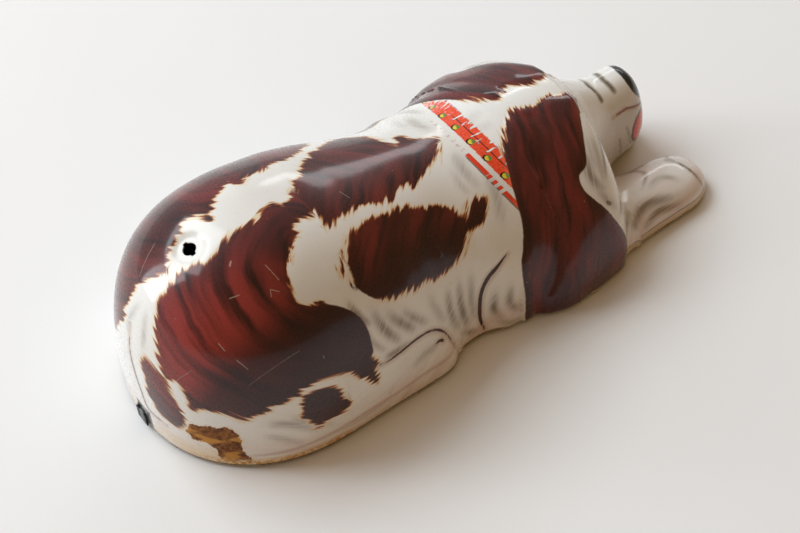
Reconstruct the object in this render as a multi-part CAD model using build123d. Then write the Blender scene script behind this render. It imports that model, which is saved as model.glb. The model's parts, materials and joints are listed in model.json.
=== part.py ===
from build123d import *
import math
import os

# A wind-up tinplate dog lying on its belly. Millimetres, +Z up.
# Origin: on the ground, on the dog's centre plane, under the rearmost point of the body.
# +X points to the nose, +Y to the dog's left.

# ---- driving dimensions -------------------------------------------------------------------------
SHEET = 0.4                 # tinplate thickness of shell and base
RIM_Z = 1.4                 # underside of the shell, top of the base plate
GAP = 0.02                  # radial gap of pieces fixed to each other
RUN = 0.05                  # radial gap of a shaft turning in a plate
MODULE = 0.5                # gear module
GREAT_TEETH, SECOND_TEETH, PINION_TEETH = 44, 36, 10

DRIVE_R, DRIVE_WIDTH = 8.0, 4.4
FRONT_R, FRONT_WIDTH = 6.0, 3.0
DRIVE_AXLE_R, FRONT_AXLE_R, SECOND_ARBOR_R, WINDING_ARBOR_R = 1.0, 0.9, 0.8, 1.6

GREAT_AT = (56.0, 15.0)     # x, z of the winding arbor
SECOND_Z = 14.0
PLATE_Y, PLATE_T = 10.0, 0.8
DRIVE_WHEEL_Y = 22.0        # middle of the drive wheels
FRONT_AT = (116.0, FRONT_R)
FRONT_WHEEL_Y = 13.4
BRACKET_Y, BRACKET_T = 11.0, 0.6

TAIL_X, TAIL_R = 20.7, 1.7
NOTCH_WIDTH, NOTCH_REACH = 1.2, 0.5
KEY_HOLE_R = 2.2
LUG_XS = (60.0, 110.0)      # shell lugs folded under the base plate
LUG_LENGTH, LUG_FOLD = 5.0, 3.0
ARCH_POINTS = 16
CHIN_SHARE, CHIN_TOP = 0.42, 13.0   # the muzzle is drawn in under the jaw by this share, up to this height

# Each lobe of the body is a run of arches along X. ends: where it starts, reaches full size, starts to
# close and ends. round: how blunt the two ends are. The lists are hand-set stations (x, value).
LOBES = {
    "trunk": dict(
        ends=(0, 37.6, 118, 128.4), round=(2.14, 2.6),
        tall_ends=(0, 36.5, 118, 128.4), tall_round=(2.83, 2.6), middle=[(0, 0)],
        half_width=[(0, 34.5), (52, 34.5), (60, 34), (66, 32.6), (72, 31), (79, 30.2), (83, 30.8), (88, 32.8),
                    (94, 33.2), (104, 33.2), (116, 32.6), (124, 31), (130, 28)],
        height=[(0, 51.2), (36, 51.2), (50, 48.8), (60, 46), (70, 43.2), (80, 40.6), (90, 38.2), (98, 37),
                (108, 37.6), (118, 36.2), (130, 33)],
        square=[(0, 2.48), (50, 2.45), (66, 2.3), (80, 2.15), (98, 2.05), (130, 2.2)]),
    "ears": dict(
        ends=(91, 95, 121, 130.8), round=(2.2, 2.6), tall_ends=(91, 92, 127, 130.8), tall_round=(2.2, 2.6),
        middle=[(91, 0)],
        half_width=[(91, 30.5), (94, 32.3), (98, 35.6), (105, 37.4), (113, 37), (120, 36.2), (132, 34.5)],
        height=[(91, 6), (94, 9), (97, 13), (100, 18), (103, 26), (106, 34), (109, 37.4), (113, 38.2),
                (120, 38), (127, 36.8), (132, 35)],
        square=[(91, 2.2)]),
    "head": dict(
        ends=(96, 110, 147.5, 156.8), round=(2.2, 2.4), tall_ends=(96, 100, 150, 156.8), tall_round=(2.2, 2.4),
        middle=[(96, 0), (130, 0), (157, 0.8)],
        half_width=[(96, 20), (118, 21), (128, 17.5), (134, 13.6), (142, 10.8), (150, 10), (157, 9.8)],
        height=[(96, 30), (104, 35.5), (110, 37.6), (120, 37), (128, 34.6), (134, 30.4), (142, 26.4), (150, 25.8),
                (157, 25)],
        square=[(96, 2.2), (157, 2.4)], chin=(128, 138)),
    "right_forepaw": dict(
        ends=(106, 112, 149, 160.2), round=(2.2, 2.2), tall_ends=(106, 107, 150, 160.2), tall_round=(2.2, 2.2),
        middle=[(106, -23), (150, -23), (160, -22.6)],
        half_width=[(106, 10), (128, 9.4), (140, 8.9), (160, 8.7)],
        height=[(106, 14), (126, 10.6), (136, 8.1), (150, 7.3), (160, 6.8)],
        square=[(106, 2.3), (160, 2.4)]),
    "left_forepaw": dict(
        ends=(106, 112, 131, 142), round=(2.2, 2.2), tall_ends=(106, 107, 132, 142), tall_round=(2.2, 2.2),
        middle=[(106, 23), (130, 22.4), (142, 20)],
        half_width=[(106, 10), (128, 9.4), (142, 9)],
        height=[(106, 14), (126, 11), (142, 8.5)],
        square=[(106, 2.3), (142, 2.4)]),
}
for side, sign in (("right", -1), ("left", 1)):
    LOBES[side + "_hindpaw"] = dict(
        ends=(38, 46, 66, 73.6), round=(2.2, 2.3), tall_ends=(38, 46, 66, 73.6), tall_round=(2.2, 2.3),
        middle=[(38, sign * 25.8), (60, sign * 26), (74, sign * 26.2)],
        half_width=[(38, 8.5), (60, 8.6), (74, 8)],
        height=[(38, 10), (50, 13), (60, 13.5), (74, 11)],
        square=[(38, 2.3)])

# ---- worked out from the above ------------------------------------------------------------------
GREAT_PITCH_R = GREAT_TEETH * MODULE / 2
SECOND_PITCH_R = SECOND_TEETH * MODULE / 2
PINION_PITCH_R = PINION_TEETH * MODULE / 2


def rear_of(at, distance, z):
    """The point at height z that lies the given distance behind another shaft."""
    return (at[0] - math.sqrt(distance**2 - (at[1] - z) ** 2), z)


SECOND_AT = rear_of(GREAT_AT, GREAT_PITCH_R + PINION_PITCH_R, SECOND_Z)
DRIVE_AT = rear_of(SECOND_AT, SECOND_PITCH_R + PINION_PITCH_R, DRIVE_R)
PILLARS = {                 # x, z of the pillars that hold the motor plates apart
    "pillar_rear": (SECOND_AT[0] - 12.6, SECOND_Z + 6.5),
    "pillar_top": (GREAT_AT[0] - 4.5, GREAT_AT[1] + 13.4),
    "pillar_front": (GREAT_AT[0] + 12.0, GREAT_AT[1] - 8.6),
    "spring_post": (GREAT_AT[0] + 12.8, GREAT_AT[1] + 6.0),
}
PILLAR_R, PILLAR_TIP_R, PILLAR_HEAD = 1.6, 1.0, 0.6

# stations along the gear train, across the toy (y)
GREAT_Y = (7.3, 8.5)
RATCHET_Y = (5.2, 6.5)
SECOND_WHEEL_Y = (-8.6, -7.4)
SECOND_PINION_Y = (6.9, 8.9)
DRIVE_PINION_Y = (-9.0, -7.0)
SPRING_Y = (-5.4, 4.2)


# ---- helpers ------------------------------------------------------------------------------------
def smooth(x, stations):
    """Smooth curve through stations (x, value) that never overshoots them."""
    if x <= stations[0][0] or len(stations) == 1:
        return stations[0][1]
    if x >= stations[-1][0]:
        return stations[-1][1]
    i = max(k for k in range(len(stations) - 1) if stations[k][0] <= x)
    rise = [(b[1] - a[1]) / (b[0] - a[0]) for a, b in zip(stations, stations[1:])]

    def slope(k):
        if k in (0, len(rise)) or rise[k - 1] * rise[k] <= 0:
            return 0.0
        return 2 * rise[k - 1] * rise[k] / (rise[k - 1] + rise[k])

    (xa, ya), (xb, yb) = stations[i], stations[i + 1]
    span = xb - xa
    t = (x - xa) / span
    return (ya * (1 + 2 * t) * (1 - t) ** 2 + yb * t * t * (3 - 2 * t)
            + span * t * (1 - t) * (slope(i) * (1 - t) - slope(i + 1) * t))


def rounding(x, ends, blunt, inset):
    """Share of full size at x, for a lobe with superelliptic ends."""
    start, full, closing, end = ends
    u = min(max((full - x) / (full - start - inset), 0), 1)
    v = min(max((x - closing) / (end - inset - closing), 0), 1)
    return (1 - u ** blunt[0]) ** (1 / blunt[0]) * (1 - v ** blunt[1]) ** (1 / blunt[1])


def arch(lobe, x, inset=0.0, floor_z=RIM_Z):
    """The closed outline of a lobe at station x: a superelliptic arch on a straight floor."""
    wide = (smooth(x, lobe["half_width"]) - inset) * rounding(x, lobe["ends"], lobe["round"], inset)
    tall = (smooth(x, lobe["height"]) - inset) * rounding(x, lobe["tall_ends"], lobe["tall_round"], inset)
    power = 2 / smooth(x, lobe["square"])
    middle = smooth(x, lobe["middle"])
    chin = CHIN_SHARE * smooth(x, [(lobe["chin"][0], 0), (lobe["chin"][1], 1)]) if "chin" in lobe else 0.0
    points = []
    for i in range(ARCH_POINTS + 1):
        c, s = math.cos(math.pi * i / ARCH_POINTS), math.sin(math.pi * i / ARCH_POINTS)
        rise = tall * abs(s) ** power
        drawn_in = 1 - chin * max(1 - rise / CHIN_TOP, 0) ** 2
        points.append((x, middle + wide * math.copysign(abs(c) ** power, c) * drawn_in, RIM_Z + rise))
    points[-1] = (x, middle - wide * (1 - chin), RIM_Z)
    lean = 2 * wide * chin / CHIN_TOP
    curve = Spline(*points, tangents=((0, lean, 1), (0, lean, -1)))
    first, last = points[0], points[-1]
    if floor_z == RIM_Z:
        floor = Line(last, first)
    else:
        floor = Polyline(last, (x, last[1], floor_z), (x, first[1], floor_z), first)
    return Face(Wire(curve.edges() + floor.edges()))


def stations(lobe, inset):
    """Stations along a lobe, closer together where its ends round off."""
    start, full, closing, end = lobe["ends"]
    start, end = start + inset, end - inset
    tiny, steps = 0.05, 10
    rear = [start + tiny] + [start + (full - start) * (1 - math.cos(math.pi / 2 * i / steps)) for i in range(2, steps)]
    nose = [end - (end - closing) * (1 - math.cos(math.pi / 2 * i / steps)) for i in range(2, steps)] + [end - tiny]
    count = max(2, round((closing - full) / 6))
    straight = [full + (closing - full) * i / count for i in range(count + 1)]
    return rear + straight + sorted(nose)


def lobe_solid(lobe, inset=0.0, floor_z=RIM_Z):
    return loft([arch(lobe, x, inset, floor_z) for x in stations(lobe, inset)], ruled=True)


def crosswise(sketch, y0, y1, at=(0, 0)):
    """Extrude a sketch drawn in (x, z) from y0 to y1, moved to the point (x, z)."""
    return Plane.XZ * (Pos(at[0], at[1], -y1) * extrude(sketch, y1 - y0))


def rod(radius, y0, y1, at, bore=0.0):
    sketch = Circle(radius) - Circle(bore) if bore else Circle(radius)
    return crosswise(sketch, y0, y1, at)


def block(x0, x1, y0, y1, z0, z1):
    return Pos((x0 + x1) / 2, (y0 + y1) / 2, (z0 + z1) / 2) * Box(x1 - x0, y1 - y0, z1 - z0)


def gear_face(teeth, turned, addendum=0.8, dedendum=1.15, thin=0.8, pressure=math.radians(20)):
    """Involute gear outline. turned is the angle of one tooth's middle, in radians."""
    pitch_r = teeth * MODULE / 2
    base_r = pitch_r * math.cos(pressure)
    tip_r, root_r = pitch_r + addendum * MODULE, pitch_r - dedendum * MODULE

    def involute(radius):
        a = math.acos(min(1.0, base_r / radius))
        return math.tan(a) - a

    half_pitch = math.pi / (2 * teeth) * thin + involute(pitch_r)
    flank = [max(base_r, root_r) + (tip_r - max(base_r, root_r)) * k / 3 for k in range(4)]
    one_side = [(root_r, half_pitch)] if root_r < base_r else []
    one_side += [(r, half_pitch - involute(r)) for r in flank]
    points = []
    for k in range(teeth):
        middle = turned + 2 * math.pi * k / teeth
        points += [(r * math.cos(middle - a), r * math.sin(middle - a)) for r, a in one_side]
        points += [(r * math.cos(middle + a), r * math.sin(middle + a)) for r, a in reversed(one_side)]
    return make_face(Polyline(*points, close=True))


def heading(here, there):
    return math.atan2(there[1] - here[1], there[0] - here[0])


# ---- tin body -----------------------------------------------------------------------------------
def outer_form():
    form = None
    for lobe in LOBES.values():
        form = lobe_solid(lobe) if form is None else form + lobe_solid(lobe)
    return form


def inner_form():
    form = None
    for lobe in LOBES.values():
        solid = lobe_solid(lobe, SHEET, RIM_Z - 1)
        form = solid if form is None else form + solid
    return form


def back_point(x):
    trunk = LOBES["trunk"]
    return RIM_Z + smooth(x, trunk["height"]) * rounding(x, trunk["tall_ends"], trunk["tall_round"], 0)


def tail_plane():
    """On the dog's back at the tail, with Z along the outward normal."""
    step = 0.2
    slope = (back_point(TAIL_X + step) - back_point(TAIL_X - step)) / (2 * step)
    return Plane(origin=(TAIL_X, 0, back_point(TAIL_X)), x_dir=(1, 0, slope), z_dir=(-slope, 0, 1))


DIMPLE_DEPTH, DIMPLE_FLOOR_R, DIMPLE_MOUTH_R = 0.9, 2.8, 4.6


def dimple(grow, extra):
    """The tail dimple as a short cone, grown outward by a sheet's thickness for its outside."""
    height = DIMPLE_DEPTH + extra
    cone = Cone(DIMPLE_FLOOR_R + grow, DIMPLE_MOUTH_R + grow, height)
    return tail_plane() * (Pos(0, 0, -DIMPLE_DEPTH + height / 2) * cone)


def notches():
    """Two small slots across the tail hole, where the tail's foot was turned in."""
    return tail_plane() * Box(NOTCH_WIDTH, 2 * (TAIL_R + NOTCH_REACH), 3)


def rim_y(x):
    """Half-width of the rim at station x."""
    reach = []
    for lobe in LOBES.values():
        if lobe["ends"][0] < x < lobe["ends"][3]:
            wide = smooth(x, lobe["half_width"]) * rounding(x, lobe["ends"], lobe["round"], 0)
            reach.append(smooth(x, lobe["middle"]) + wide)
    return max(reach)


def lug(x, side):
    """A tongue of the shell that passes the base plate's edge and is folded in under it."""
    y = rim_y(x) - SHEET / 2
    low = RIM_Z - 2 * SHEET - 0.05
    upright = block(x - LUG_LENGTH / 2, x + LUG_LENGTH / 2, y - SHEET / 2, y + SHEET / 2, low, RIM_Z + 0.3)
    fold = block(x - LUG_LENGTH / 2, x + LUG_LENGTH / 2, y - LUG_FOLD, y + SHEET / 2, low, low + SHEET - 0.05)
    tongue = upright + fold
    return tongue if side > 0 else mirror(tongue, Plane.XZ)


def body_shell():
    shell = outer_form() - inner_form()
    bowl = dimple(SHEET * 0.9, 0) & (outer_form() - lobe_solid(LOBES["trunk"], 3.0, RIM_Z - 1))
    floor = tail_plane() * (Pos(0, 0, -DIMPLE_DEPTH - SHEET / 2) * Cylinder(DIMPLE_FLOOR_R + 0.3, SHEET))
    shell = shell + bowl + floor - dimple(0, 1.5)
    shell -= tail_plane() * Cylinder(TAIL_R, 6)
    shell -= notches()
    shell -= rod(KEY_HOLE_R, 25, 40, GREAT_AT)
    for x in LUG_XS:
        shell += lug(x, 1) + lug(x, -1)
    return shell


def base_plate():
    slab = outer_form() & block(-5, 170, -50, 50, RIM_Z, RIM_Z + SHEET)
    plate = Pos(0, 0, -SHEET) * slab
    for x in LUG_XS:
        for side in (1, -1):
            y = side * (rim_y(x) - SHEET / 2)
            plate -= block(x - LUG_LENGTH / 2 - 0.2, x + LUG_LENGTH / 2 + 0.2,
                           min(y - side * 0.4, y + side * 2), max(y - side * 0.4, y + side * 2), 0, 2)
    for x, reach, middle, half in ((DRIVE_AT[0], 6.8, DRIVE_WHEEL_Y, DRIVE_WIDTH / 2 + 1),
                                   (FRONT_AT[0], 5.8, FRONT_WHEEL_Y, FRONT_WIDTH / 2 + 1)):
        for side in (1, -1):
            plate -= block(x - reach, x + reach, side * middle - half, side * middle + half, 0, 2)
    for x0, x1 in PLATE_LUGS:
        for side in (1, -1):
            y = side * (PLATE_Y + PLATE_T / 2)
            plate -= block(x0 - 0.15, x1 + 0.15, y - PLATE_T / 2 - 0.15, y + PLATE_T / 2 + 0.15, 0, 2)
    for y in RIVET_YS:
        plate -= Pos(FRONT_AT[0], y, RIM_Z) * Cylinder(RIVET_R + GAP, 4)
    tab = block(-SHEET - 0.08, -0.08, -2.4, 1.8, RIM_Z - SHEET, RIM_Z + 3.8)
    root = block(-SHEET - 0.08, 1.5, -2.0, 1.4, RIM_Z - SHEET, RIM_Z - 0.02)
    return plate + tab + root


# ---- clockwork ----------------------------------------------------------------------------------
PLATE_LUGS = ((36.0, 40.0), (62.0, 66.0))
RIVET_YS, RIVET_R = (-5.5, 5.5), 0.8


def motor_plate(side):
    """One side plate, with its pivot holes, pillar holes and the lugs that hold it to the base."""
    corners = [(DRIVE_AT[0] - 4.5, RIM_Z + 0.02), (DRIVE_AT[0] - 4.5, 13), (PILLARS["pillar_rear"][0] - 3, 18),
               (PILLARS["pillar_rear"][0] - 2.6, 23.5), (PILLARS["pillar_top"][0] - 4, 31.6),
               (PILLARS["pillar_top"][0] + 4, 31.6), (PILLARS["spring_post"][0] + 3, 24),
               (PILLARS["spring_post"][0] + 3, RIM_Z + 0.02)]
    outline = make_face(Polyline(*corners, close=True))
    outline = fillet(outline.vertices().sort_by(Axis.Y)[2:], 2.4)
    for at in PILLARS.values():
        outline -= Pos(*at) * Circle(PILLAR_TIP_R + GAP)
    for at, radius in ((GREAT_AT, WINDING_ARBOR_R), (SECOND_AT, SECOND_ARBOR_R), (DRIVE_AT, DRIVE_AXLE_R)):
        outline -= Pos(*at) * Circle(radius + RUN)
    for x0, x1 in PLATE_LUGS:
        outline += Pos((x0 + x1) / 2, RIM_Z - 0.3) * Rectangle(x1 - x0, 1.0)
    inner = PLATE_Y if side > 0 else -PLATE_Y - PLATE_T
    return crosswise(outline, inner, inner + PLATE_T)


def pillar(at):
    """A turned pillar: shouldered between the plates, with a riveted tip beyond each."""
    body = rod(PILLAR_R, -PLATE_Y, PLATE_Y, at) + rod(PILLAR_TIP_R, -PLATE_Y - PLATE_T, PLATE_Y + PLATE_T, at)
    for side in (1, -1):
        y = side * (PLATE_Y + PLATE_T + PILLAR_HEAD / 2)
        body += rod(PILLAR_R, y - PILLAR_HEAD / 2, y + PILLAR_HEAD / 2, at)
    return body


def mainspring():
    """A spiral strip from the winding arbor out to an eye around the spring post."""
    strip, turns, inner_r = 0.35, 6.6, WINDING_ARBOR_R + 0.08
    post = PILLARS["spring_post"]
    reach = math.dist(GREAT_AT, post) - PILLAR_R - 0.1 - strip
    end_angle = heading(GREAT_AT, post)
    per_turn = 10
    count = round(turns * per_turn)

    def edge(extra):
        points = []
        for i in range(count + 1):
            share = i / count
            radius = inner_r + extra + (reach - inner_r) * share ** 1.15
            angle = end_angle - (1 - share) * turns * 2 * math.pi
            points.append((radius * math.cos(angle), radius * math.sin(angle)))
        return points

    near, far = edge(0), edge(strip)
    ribbon = make_face([Spline(*near), Line(near[-1], far[-1]), Spline(*far), Line(far[0], near[0])])
    eye_at = (post[0] - GREAT_AT[0], post[1] - GREAT_AT[1])
    eye = Pos(*eye_at) * (Circle(PILLAR_R + 0.1 + strip) - Circle(PILLAR_R + 0.08))
    return crosswise(ribbon + eye, *SPRING_Y, GREAT_AT)


def winding_arbor():
    return rod(WINDING_ARBOR_R, -PLATE_Y - PLATE_T - 0.6, KEY_Y[0] + 3.2, GREAT_AT)


KEY_Y = (34.2, 42.6)        # from the foot of its boss to the end of its wings
KEY_LOBE_R, KEY_LOBE_X, KEY_T = 3.0, 5.2, 1.2


def winding_key():
    """A boss on the arbor with two flat pierced wings."""
    x, z = GREAT_AT
    boss = rod(2.6, KEY_Y[0], KEY_Y[0] + 3.4, GREAT_AT)
    lobe_y = KEY_Y[1] - KEY_LOBE_R
    wings = Pos(0, (KEY_Y[0] + 1.6 + lobe_y) / 2) * Rectangle(4.4, lobe_y - KEY_Y[0] - 1.6 + 3)
    for side in (1, -1):
        wings += Pos(side * KEY_LOBE_X, lobe_y) * Circle(KEY_LOBE_R)
        wings += Pos(side * KEY_LOBE_X / 2, lobe_y) * Rectangle(KEY_LOBE_X, 3.6)
    for side in (1, -1):
        wings -= Pos(side * KEY_LOBE_X, lobe_y) * Circle(1.3)
    key = boss + Pos(x, 0, z - KEY_T / 2) * extrude(wings, KEY_T)
    return key - rod(WINDING_ARBOR_R + GAP, KEY_Y[0] - 1, KEY_Y[0] + 3.22, GREAT_AT)


RATCHET_TEETH, RATCHET_TIP_R, RATCHET_ROOT_R = 14, 4.4, 3.5


def ratchet_wheel():
    points = []
    for k in range(RATCHET_TEETH):
        a = 2 * math.pi * k / RATCHET_TEETH
        b = a + 2 * math.pi / RATCHET_TEETH * 0.92
        points += [(RATCHET_TIP_R * math.cos(a), RATCHET_TIP_R * math.sin(a)),
                   (RATCHET_ROOT_R * math.cos(b), RATCHET_ROOT_R * math.sin(b))]
    face = make_face(Polyline(*points, close=True)) - Circle(WINDING_ARBOR_R + GAP)
    return crosswise(face, *RATCHET_Y, GREAT_AT)


BUSH_R = 2.5
CLICK_PIN_R, CLICK_RADIUS, CLICK_ANGLE = 0.7, 8.2, math.radians(62)
CLICK_PIN_AT = (GREAT_AT[0] + CLICK_RADIUS * math.cos(CLICK_ANGLE), GREAT_AT[1] + CLICK_RADIUS * math.sin(CLICK_ANGLE))


def great_wheel():
    face = gear_face(GREAT_TEETH, heading(GREAT_AT, SECOND_AT)) - Circle(BUSH_R)
    for k in range(5):
        a = CLICK_ANGLE + math.pi / 5 + 2 * math.pi * k / 5
        face -= Pos(7 * math.cos(a), 7 * math.sin(a)) * Circle(1.9)
    return crosswise(face, *GREAT_Y, GREAT_AT) - rod(CLICK_PIN_R + GAP, 0, 10, CLICK_PIN_AT)


def great_wheel_bush():
    return rod(BUSH_R - GAP, RATCHET_Y[1] + 0.1, PLATE_Y - 0.1, GREAT_AT, WINDING_ARBOR_R + RUN)


def click_pin():
    return rod(CLICK_PIN_R, RATCHET_Y[0] - 0.5, GREAT_Y[1] + 0.3, CLICK_PIN_AT) + rod(
        1.2, RATCHET_Y[0] - 0.5, RATCHET_Y[0] - 0.1, CLICK_PIN_AT)


def click_points():
    """The middle of the click's eye and the point where its nose meets the ratchet, from the arbor."""
    eye = (CLICK_PIN_AT[0] - GREAT_AT[0], CLICK_PIN_AT[1] - GREAT_AT[1])
    nose_angle = CLICK_ANGLE + math.radians(58)
    nose_r = RATCHET_TIP_R + 0.12
    return eye, (nose_r * math.cos(nose_angle), nose_r * math.sin(nose_angle))


def click():
    """The pawl: an eye on its pin, with a tapered arm that rides on the ratchet's teeth."""
    eye, nose = click_points()
    away = math.atan2(nose[1] - eye[1], nose[0] - eye[0])
    side = (-math.sin(away), math.cos(away))
    outward = 1 if nose[0] * side[0] + nose[1] * side[1] > 0 else -1

    def beside(point, shift):
        return (point[0] + outward * side[0] * shift, point[1] + outward * side[1] * shift)

    arm = make_face(Polyline(beside(eye, -0.6), nose, beside(nose, 0.8), beside(eye, 1.3), close=True))
    face = arm + Pos(*eye) * Circle(1.4)
    face -= Pos(*eye) * Circle(CLICK_PIN_R + RUN)
    return crosswise(face, RATCHET_Y[0] + 0.1, RATCHET_Y[1] - 0.1, GREAT_AT)


def click_spring():
    """A thin bent strip from a foot on the great wheel to the back of the click."""
    eye, nose = click_points()
    foot = (9.2 * math.cos(CLICK_ANGLE + math.radians(98)), 9.2 * math.sin(CLICK_ANGLE + math.radians(98)))
    back = ((eye[0] + nose[0]) / 2, (eye[1] + nose[1]) / 2)
    away = math.atan2(back[1], back[0])
    tip = (back[0] + 2.0 * math.cos(away), back[1] + 2.0 * math.sin(away))
    middle = ((foot[0] + tip[0]) / 2 * 1.12, (foot[1] + tip[1]) / 2 * 1.12)
    strip = 0.3
    path = ThreePointArc(foot, middle, tip)
    face = make_face(offset(path, strip / 2))
    blade = crosswise(face, RATCHET_Y[0] + 0.3, RATCHET_Y[1] - 0.3, GREAT_AT)
    stud = crosswise(Pos(*foot) * Circle(0.8), RATCHET_Y[0] + 0.3, GREAT_Y[0], GREAT_AT)
    return blade + stud


def second_arbor():
    return rod(SECOND_ARBOR_R, -PLATE_Y - PLATE_T - 0.5, PLATE_Y + PLATE_T + 0.5, SECOND_AT)


def second_pinion():
    turned = heading(SECOND_AT, GREAT_AT) + math.pi / PINION_TEETH
    face = gear_face(PINION_TEETH, turned) - Circle(SECOND_ARBOR_R + GAP)
    return crosswise(face, *SECOND_PINION_Y, SECOND_AT)


def second_wheel():
    face = gear_face(SECOND_TEETH, heading(SECOND_AT, DRIVE_AT)) - Circle(SECOND_ARBOR_R + GAP)
    for k in range(4):
        a = math.pi / 4 + math.pi / 2 * k
        face -= Pos(5.4 * math.cos(a), 5.4 * math.sin(a)) * Circle(1.9)
    hub = rod(2.0, SECOND_WHEEL_Y[1], SECOND_WHEEL_Y[1] + 1.6, SECOND_AT, SECOND_ARBOR_R + GAP)
    return crosswise(face, *SECOND_WHEEL_Y, SECOND_AT) + hub


def drive_pinion():
    turned = heading(DRIVE_AT, SECOND_AT) + math.pi / PINION_TEETH
    return crosswise(gear_face(PINION_TEETH, turned) - Circle(DRIVE_AXLE_R + GAP), *DRIVE_PINION_Y, DRIVE_AT)


def drive_axle():
    reach = DRIVE_WHEEL_Y + DRIVE_WIDTH / 2 + 1.0
    return rod(DRIVE_AXLE_R, -reach, reach, DRIVE_AT)


TYRE_INNER_R = 6.0


def drive_wheel(side):
    """A pressed disc with a rolled rim and a hub."""
    y0, y1 = side * DRIVE_WHEEL_Y - DRIVE_WIDTH / 2, side * DRIVE_WHEEL_Y + DRIVE_WIDTH / 2
    middle = side * (DRIVE_WHEEL_Y + 0.6)
    wheel = rod(TYRE_INNER_R - GAP, y0 + 0.3, y1 - 0.3, DRIVE_AT, TYRE_INNER_R - 0.7)
    wheel += rod(TYRE_INNER_R - 0.4, middle - 0.3, middle + 0.3, DRIVE_AT, 1.5)
    wheel += rod(2.2, y0, y1, DRIVE_AT)
    return wheel - rod(DRIVE_AXLE_R + GAP, y0 - 1, y1 + 1, DRIVE_AT)


def tyre(side):
    y0, y1 = side * DRIVE_WHEEL_Y - DRIVE_WIDTH / 2, side * DRIVE_WHEEL_Y + DRIVE_WIDTH / 2
    ring = rod(DRIVE_R, y0, y1, DRIVE_AT, TYRE_INNER_R)
    edges = ring.edges().filter_by(lambda e: e.geom_type == GeomType.CIRCLE and abs(e.radius - DRIVE_R) < 0.01)
    return fillet(edges, 0.9)


# ---- front axle ---------------------------------------------------------------------------------
def front_bracket():
    """A strip bent to a U: riveted down, with an ear at each end for the front axle."""
    x, z = FRONT_AT
    half = 3.6
    strip = block(x - half, x + half, -BRACKET_Y, BRACKET_Y, RIM_Z + GAP, RIM_Z + GAP + BRACKET_T)
    ear = Pos(x, (RIM_Z + GAP + z) / 2) * Rectangle(2 * half, z - RIM_Z - GAP) + Pos(x, z) * Circle(half)
    ear -= Pos(x, z) * Circle(FRONT_AXLE_R + RUN)
    ears = crosswise(ear, BRACKET_Y - BRACKET_T, BRACKET_Y) + crosswise(ear, -BRACKET_Y, -BRACKET_Y + BRACKET_T)
    bracket = strip + ears
    for y in RIVET_YS:
        bracket -= Pos(x, y, RIM_Z) * Cylinder(RIVET_R + GAP, 4)
    return bracket


def bracket_rivets():
    rivets = []
    top = RIM_Z + GAP + BRACKET_T
    for y in RIVET_YS:
        shank = Pos(FRONT_AT[0], y, 0) * extrude(Pos(0, 0, RIM_Z - SHEET) * Circle(RIVET_R), top - RIM_Z + SHEET)
        head = Pos(FRONT_AT[0], y, top + 0.01 + 0.3) * Cylinder(1.7, 0.6)
        tail = Pos(FRONT_AT[0], y, RIM_Z - SHEET - 0.2) * Cylinder(1.5, 0.4)
        neck = Pos(FRONT_AT[0], y, top) * Cylinder(RIVET_R, 0.1)
        rivets.append(shank + head + tail + neck)
    return Compound(children=rivets)


def front_axle():
    reach = FRONT_WHEEL_Y + FRONT_WIDTH / 2 + 0.8
    return rod(FRONT_AXLE_R, -reach, reach, FRONT_AT)


def front_wheel(side):
    """A small turned wheel with a hollowed outer face."""
    y0, y1 = side * FRONT_WHEEL_Y - FRONT_WIDTH / 2, side * FRONT_WHEEL_Y + FRONT_WIDTH / 2
    wheel = rod(FRONT_R, y0, y1, FRONT_AT, FRONT_AXLE_R + GAP)
    edges = wheel.edges().filter_by(lambda e: e.geom_type == GeomType.CIRCLE and abs(e.radius - FRONT_R) < 0.01)
    wheel = fillet(edges, 0.6)
    outer = y1 if side > 0 else y0
    return wheel - rod(4.6, outer - 0.7, outer + 0.7, FRONT_AT, 2.0)


def main():
    nodes = {
        "body_shell": body_shell(),
        "base_plate": base_plate(),
        "motor_plate_left": motor_plate(1),
        "motor_plate_right": motor_plate(-1),
        "mainspring": mainspring(),
        "winding_arbor": winding_arbor(),
        "winding_key": winding_key(),
        "ratchet_wheel": ratchet_wheel(),
        "great_wheel": great_wheel(),
        "great_wheel_bush": great_wheel_bush(),
        "click_pin": click_pin(),
        "click": click(),
        "click_spring": click_spring(),
        "second_arbor": second_arbor(),
        "second_pinion": second_pinion(),
        "second_wheel": second_wheel(),
        "drive_axle": drive_axle(),
        "drive_pinion": drive_pinion(),
        "drive_wheel_left": drive_wheel(1),
        "drive_wheel_right": drive_wheel(-1),
        "drive_tyre_left": tyre(1),
        "drive_tyre_right": tyre(-1),
        "front_bracket": front_bracket(),
        "bracket_rivets": bracket_rivets(),
        "front_axle": front_axle(),
        "front_wheel_left": front_wheel(1),
        "front_wheel_right": front_wheel(-1),
    }
    nodes.update({name: pillar(at) for name, at in PILLARS.items()})
    os.makedirs("parts", exist_ok=True)
    for name, shape in nodes.items():
        export_step(shape, f"parts/{name}.step")


main()
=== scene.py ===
"""Looks for the wind-up tinplate dog: its printed shell, the finishes of its works, and a studio."""

import json
import math

import bmesh
import bpy
import numpy as np
from mathutils import Matrix, Vector

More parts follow.
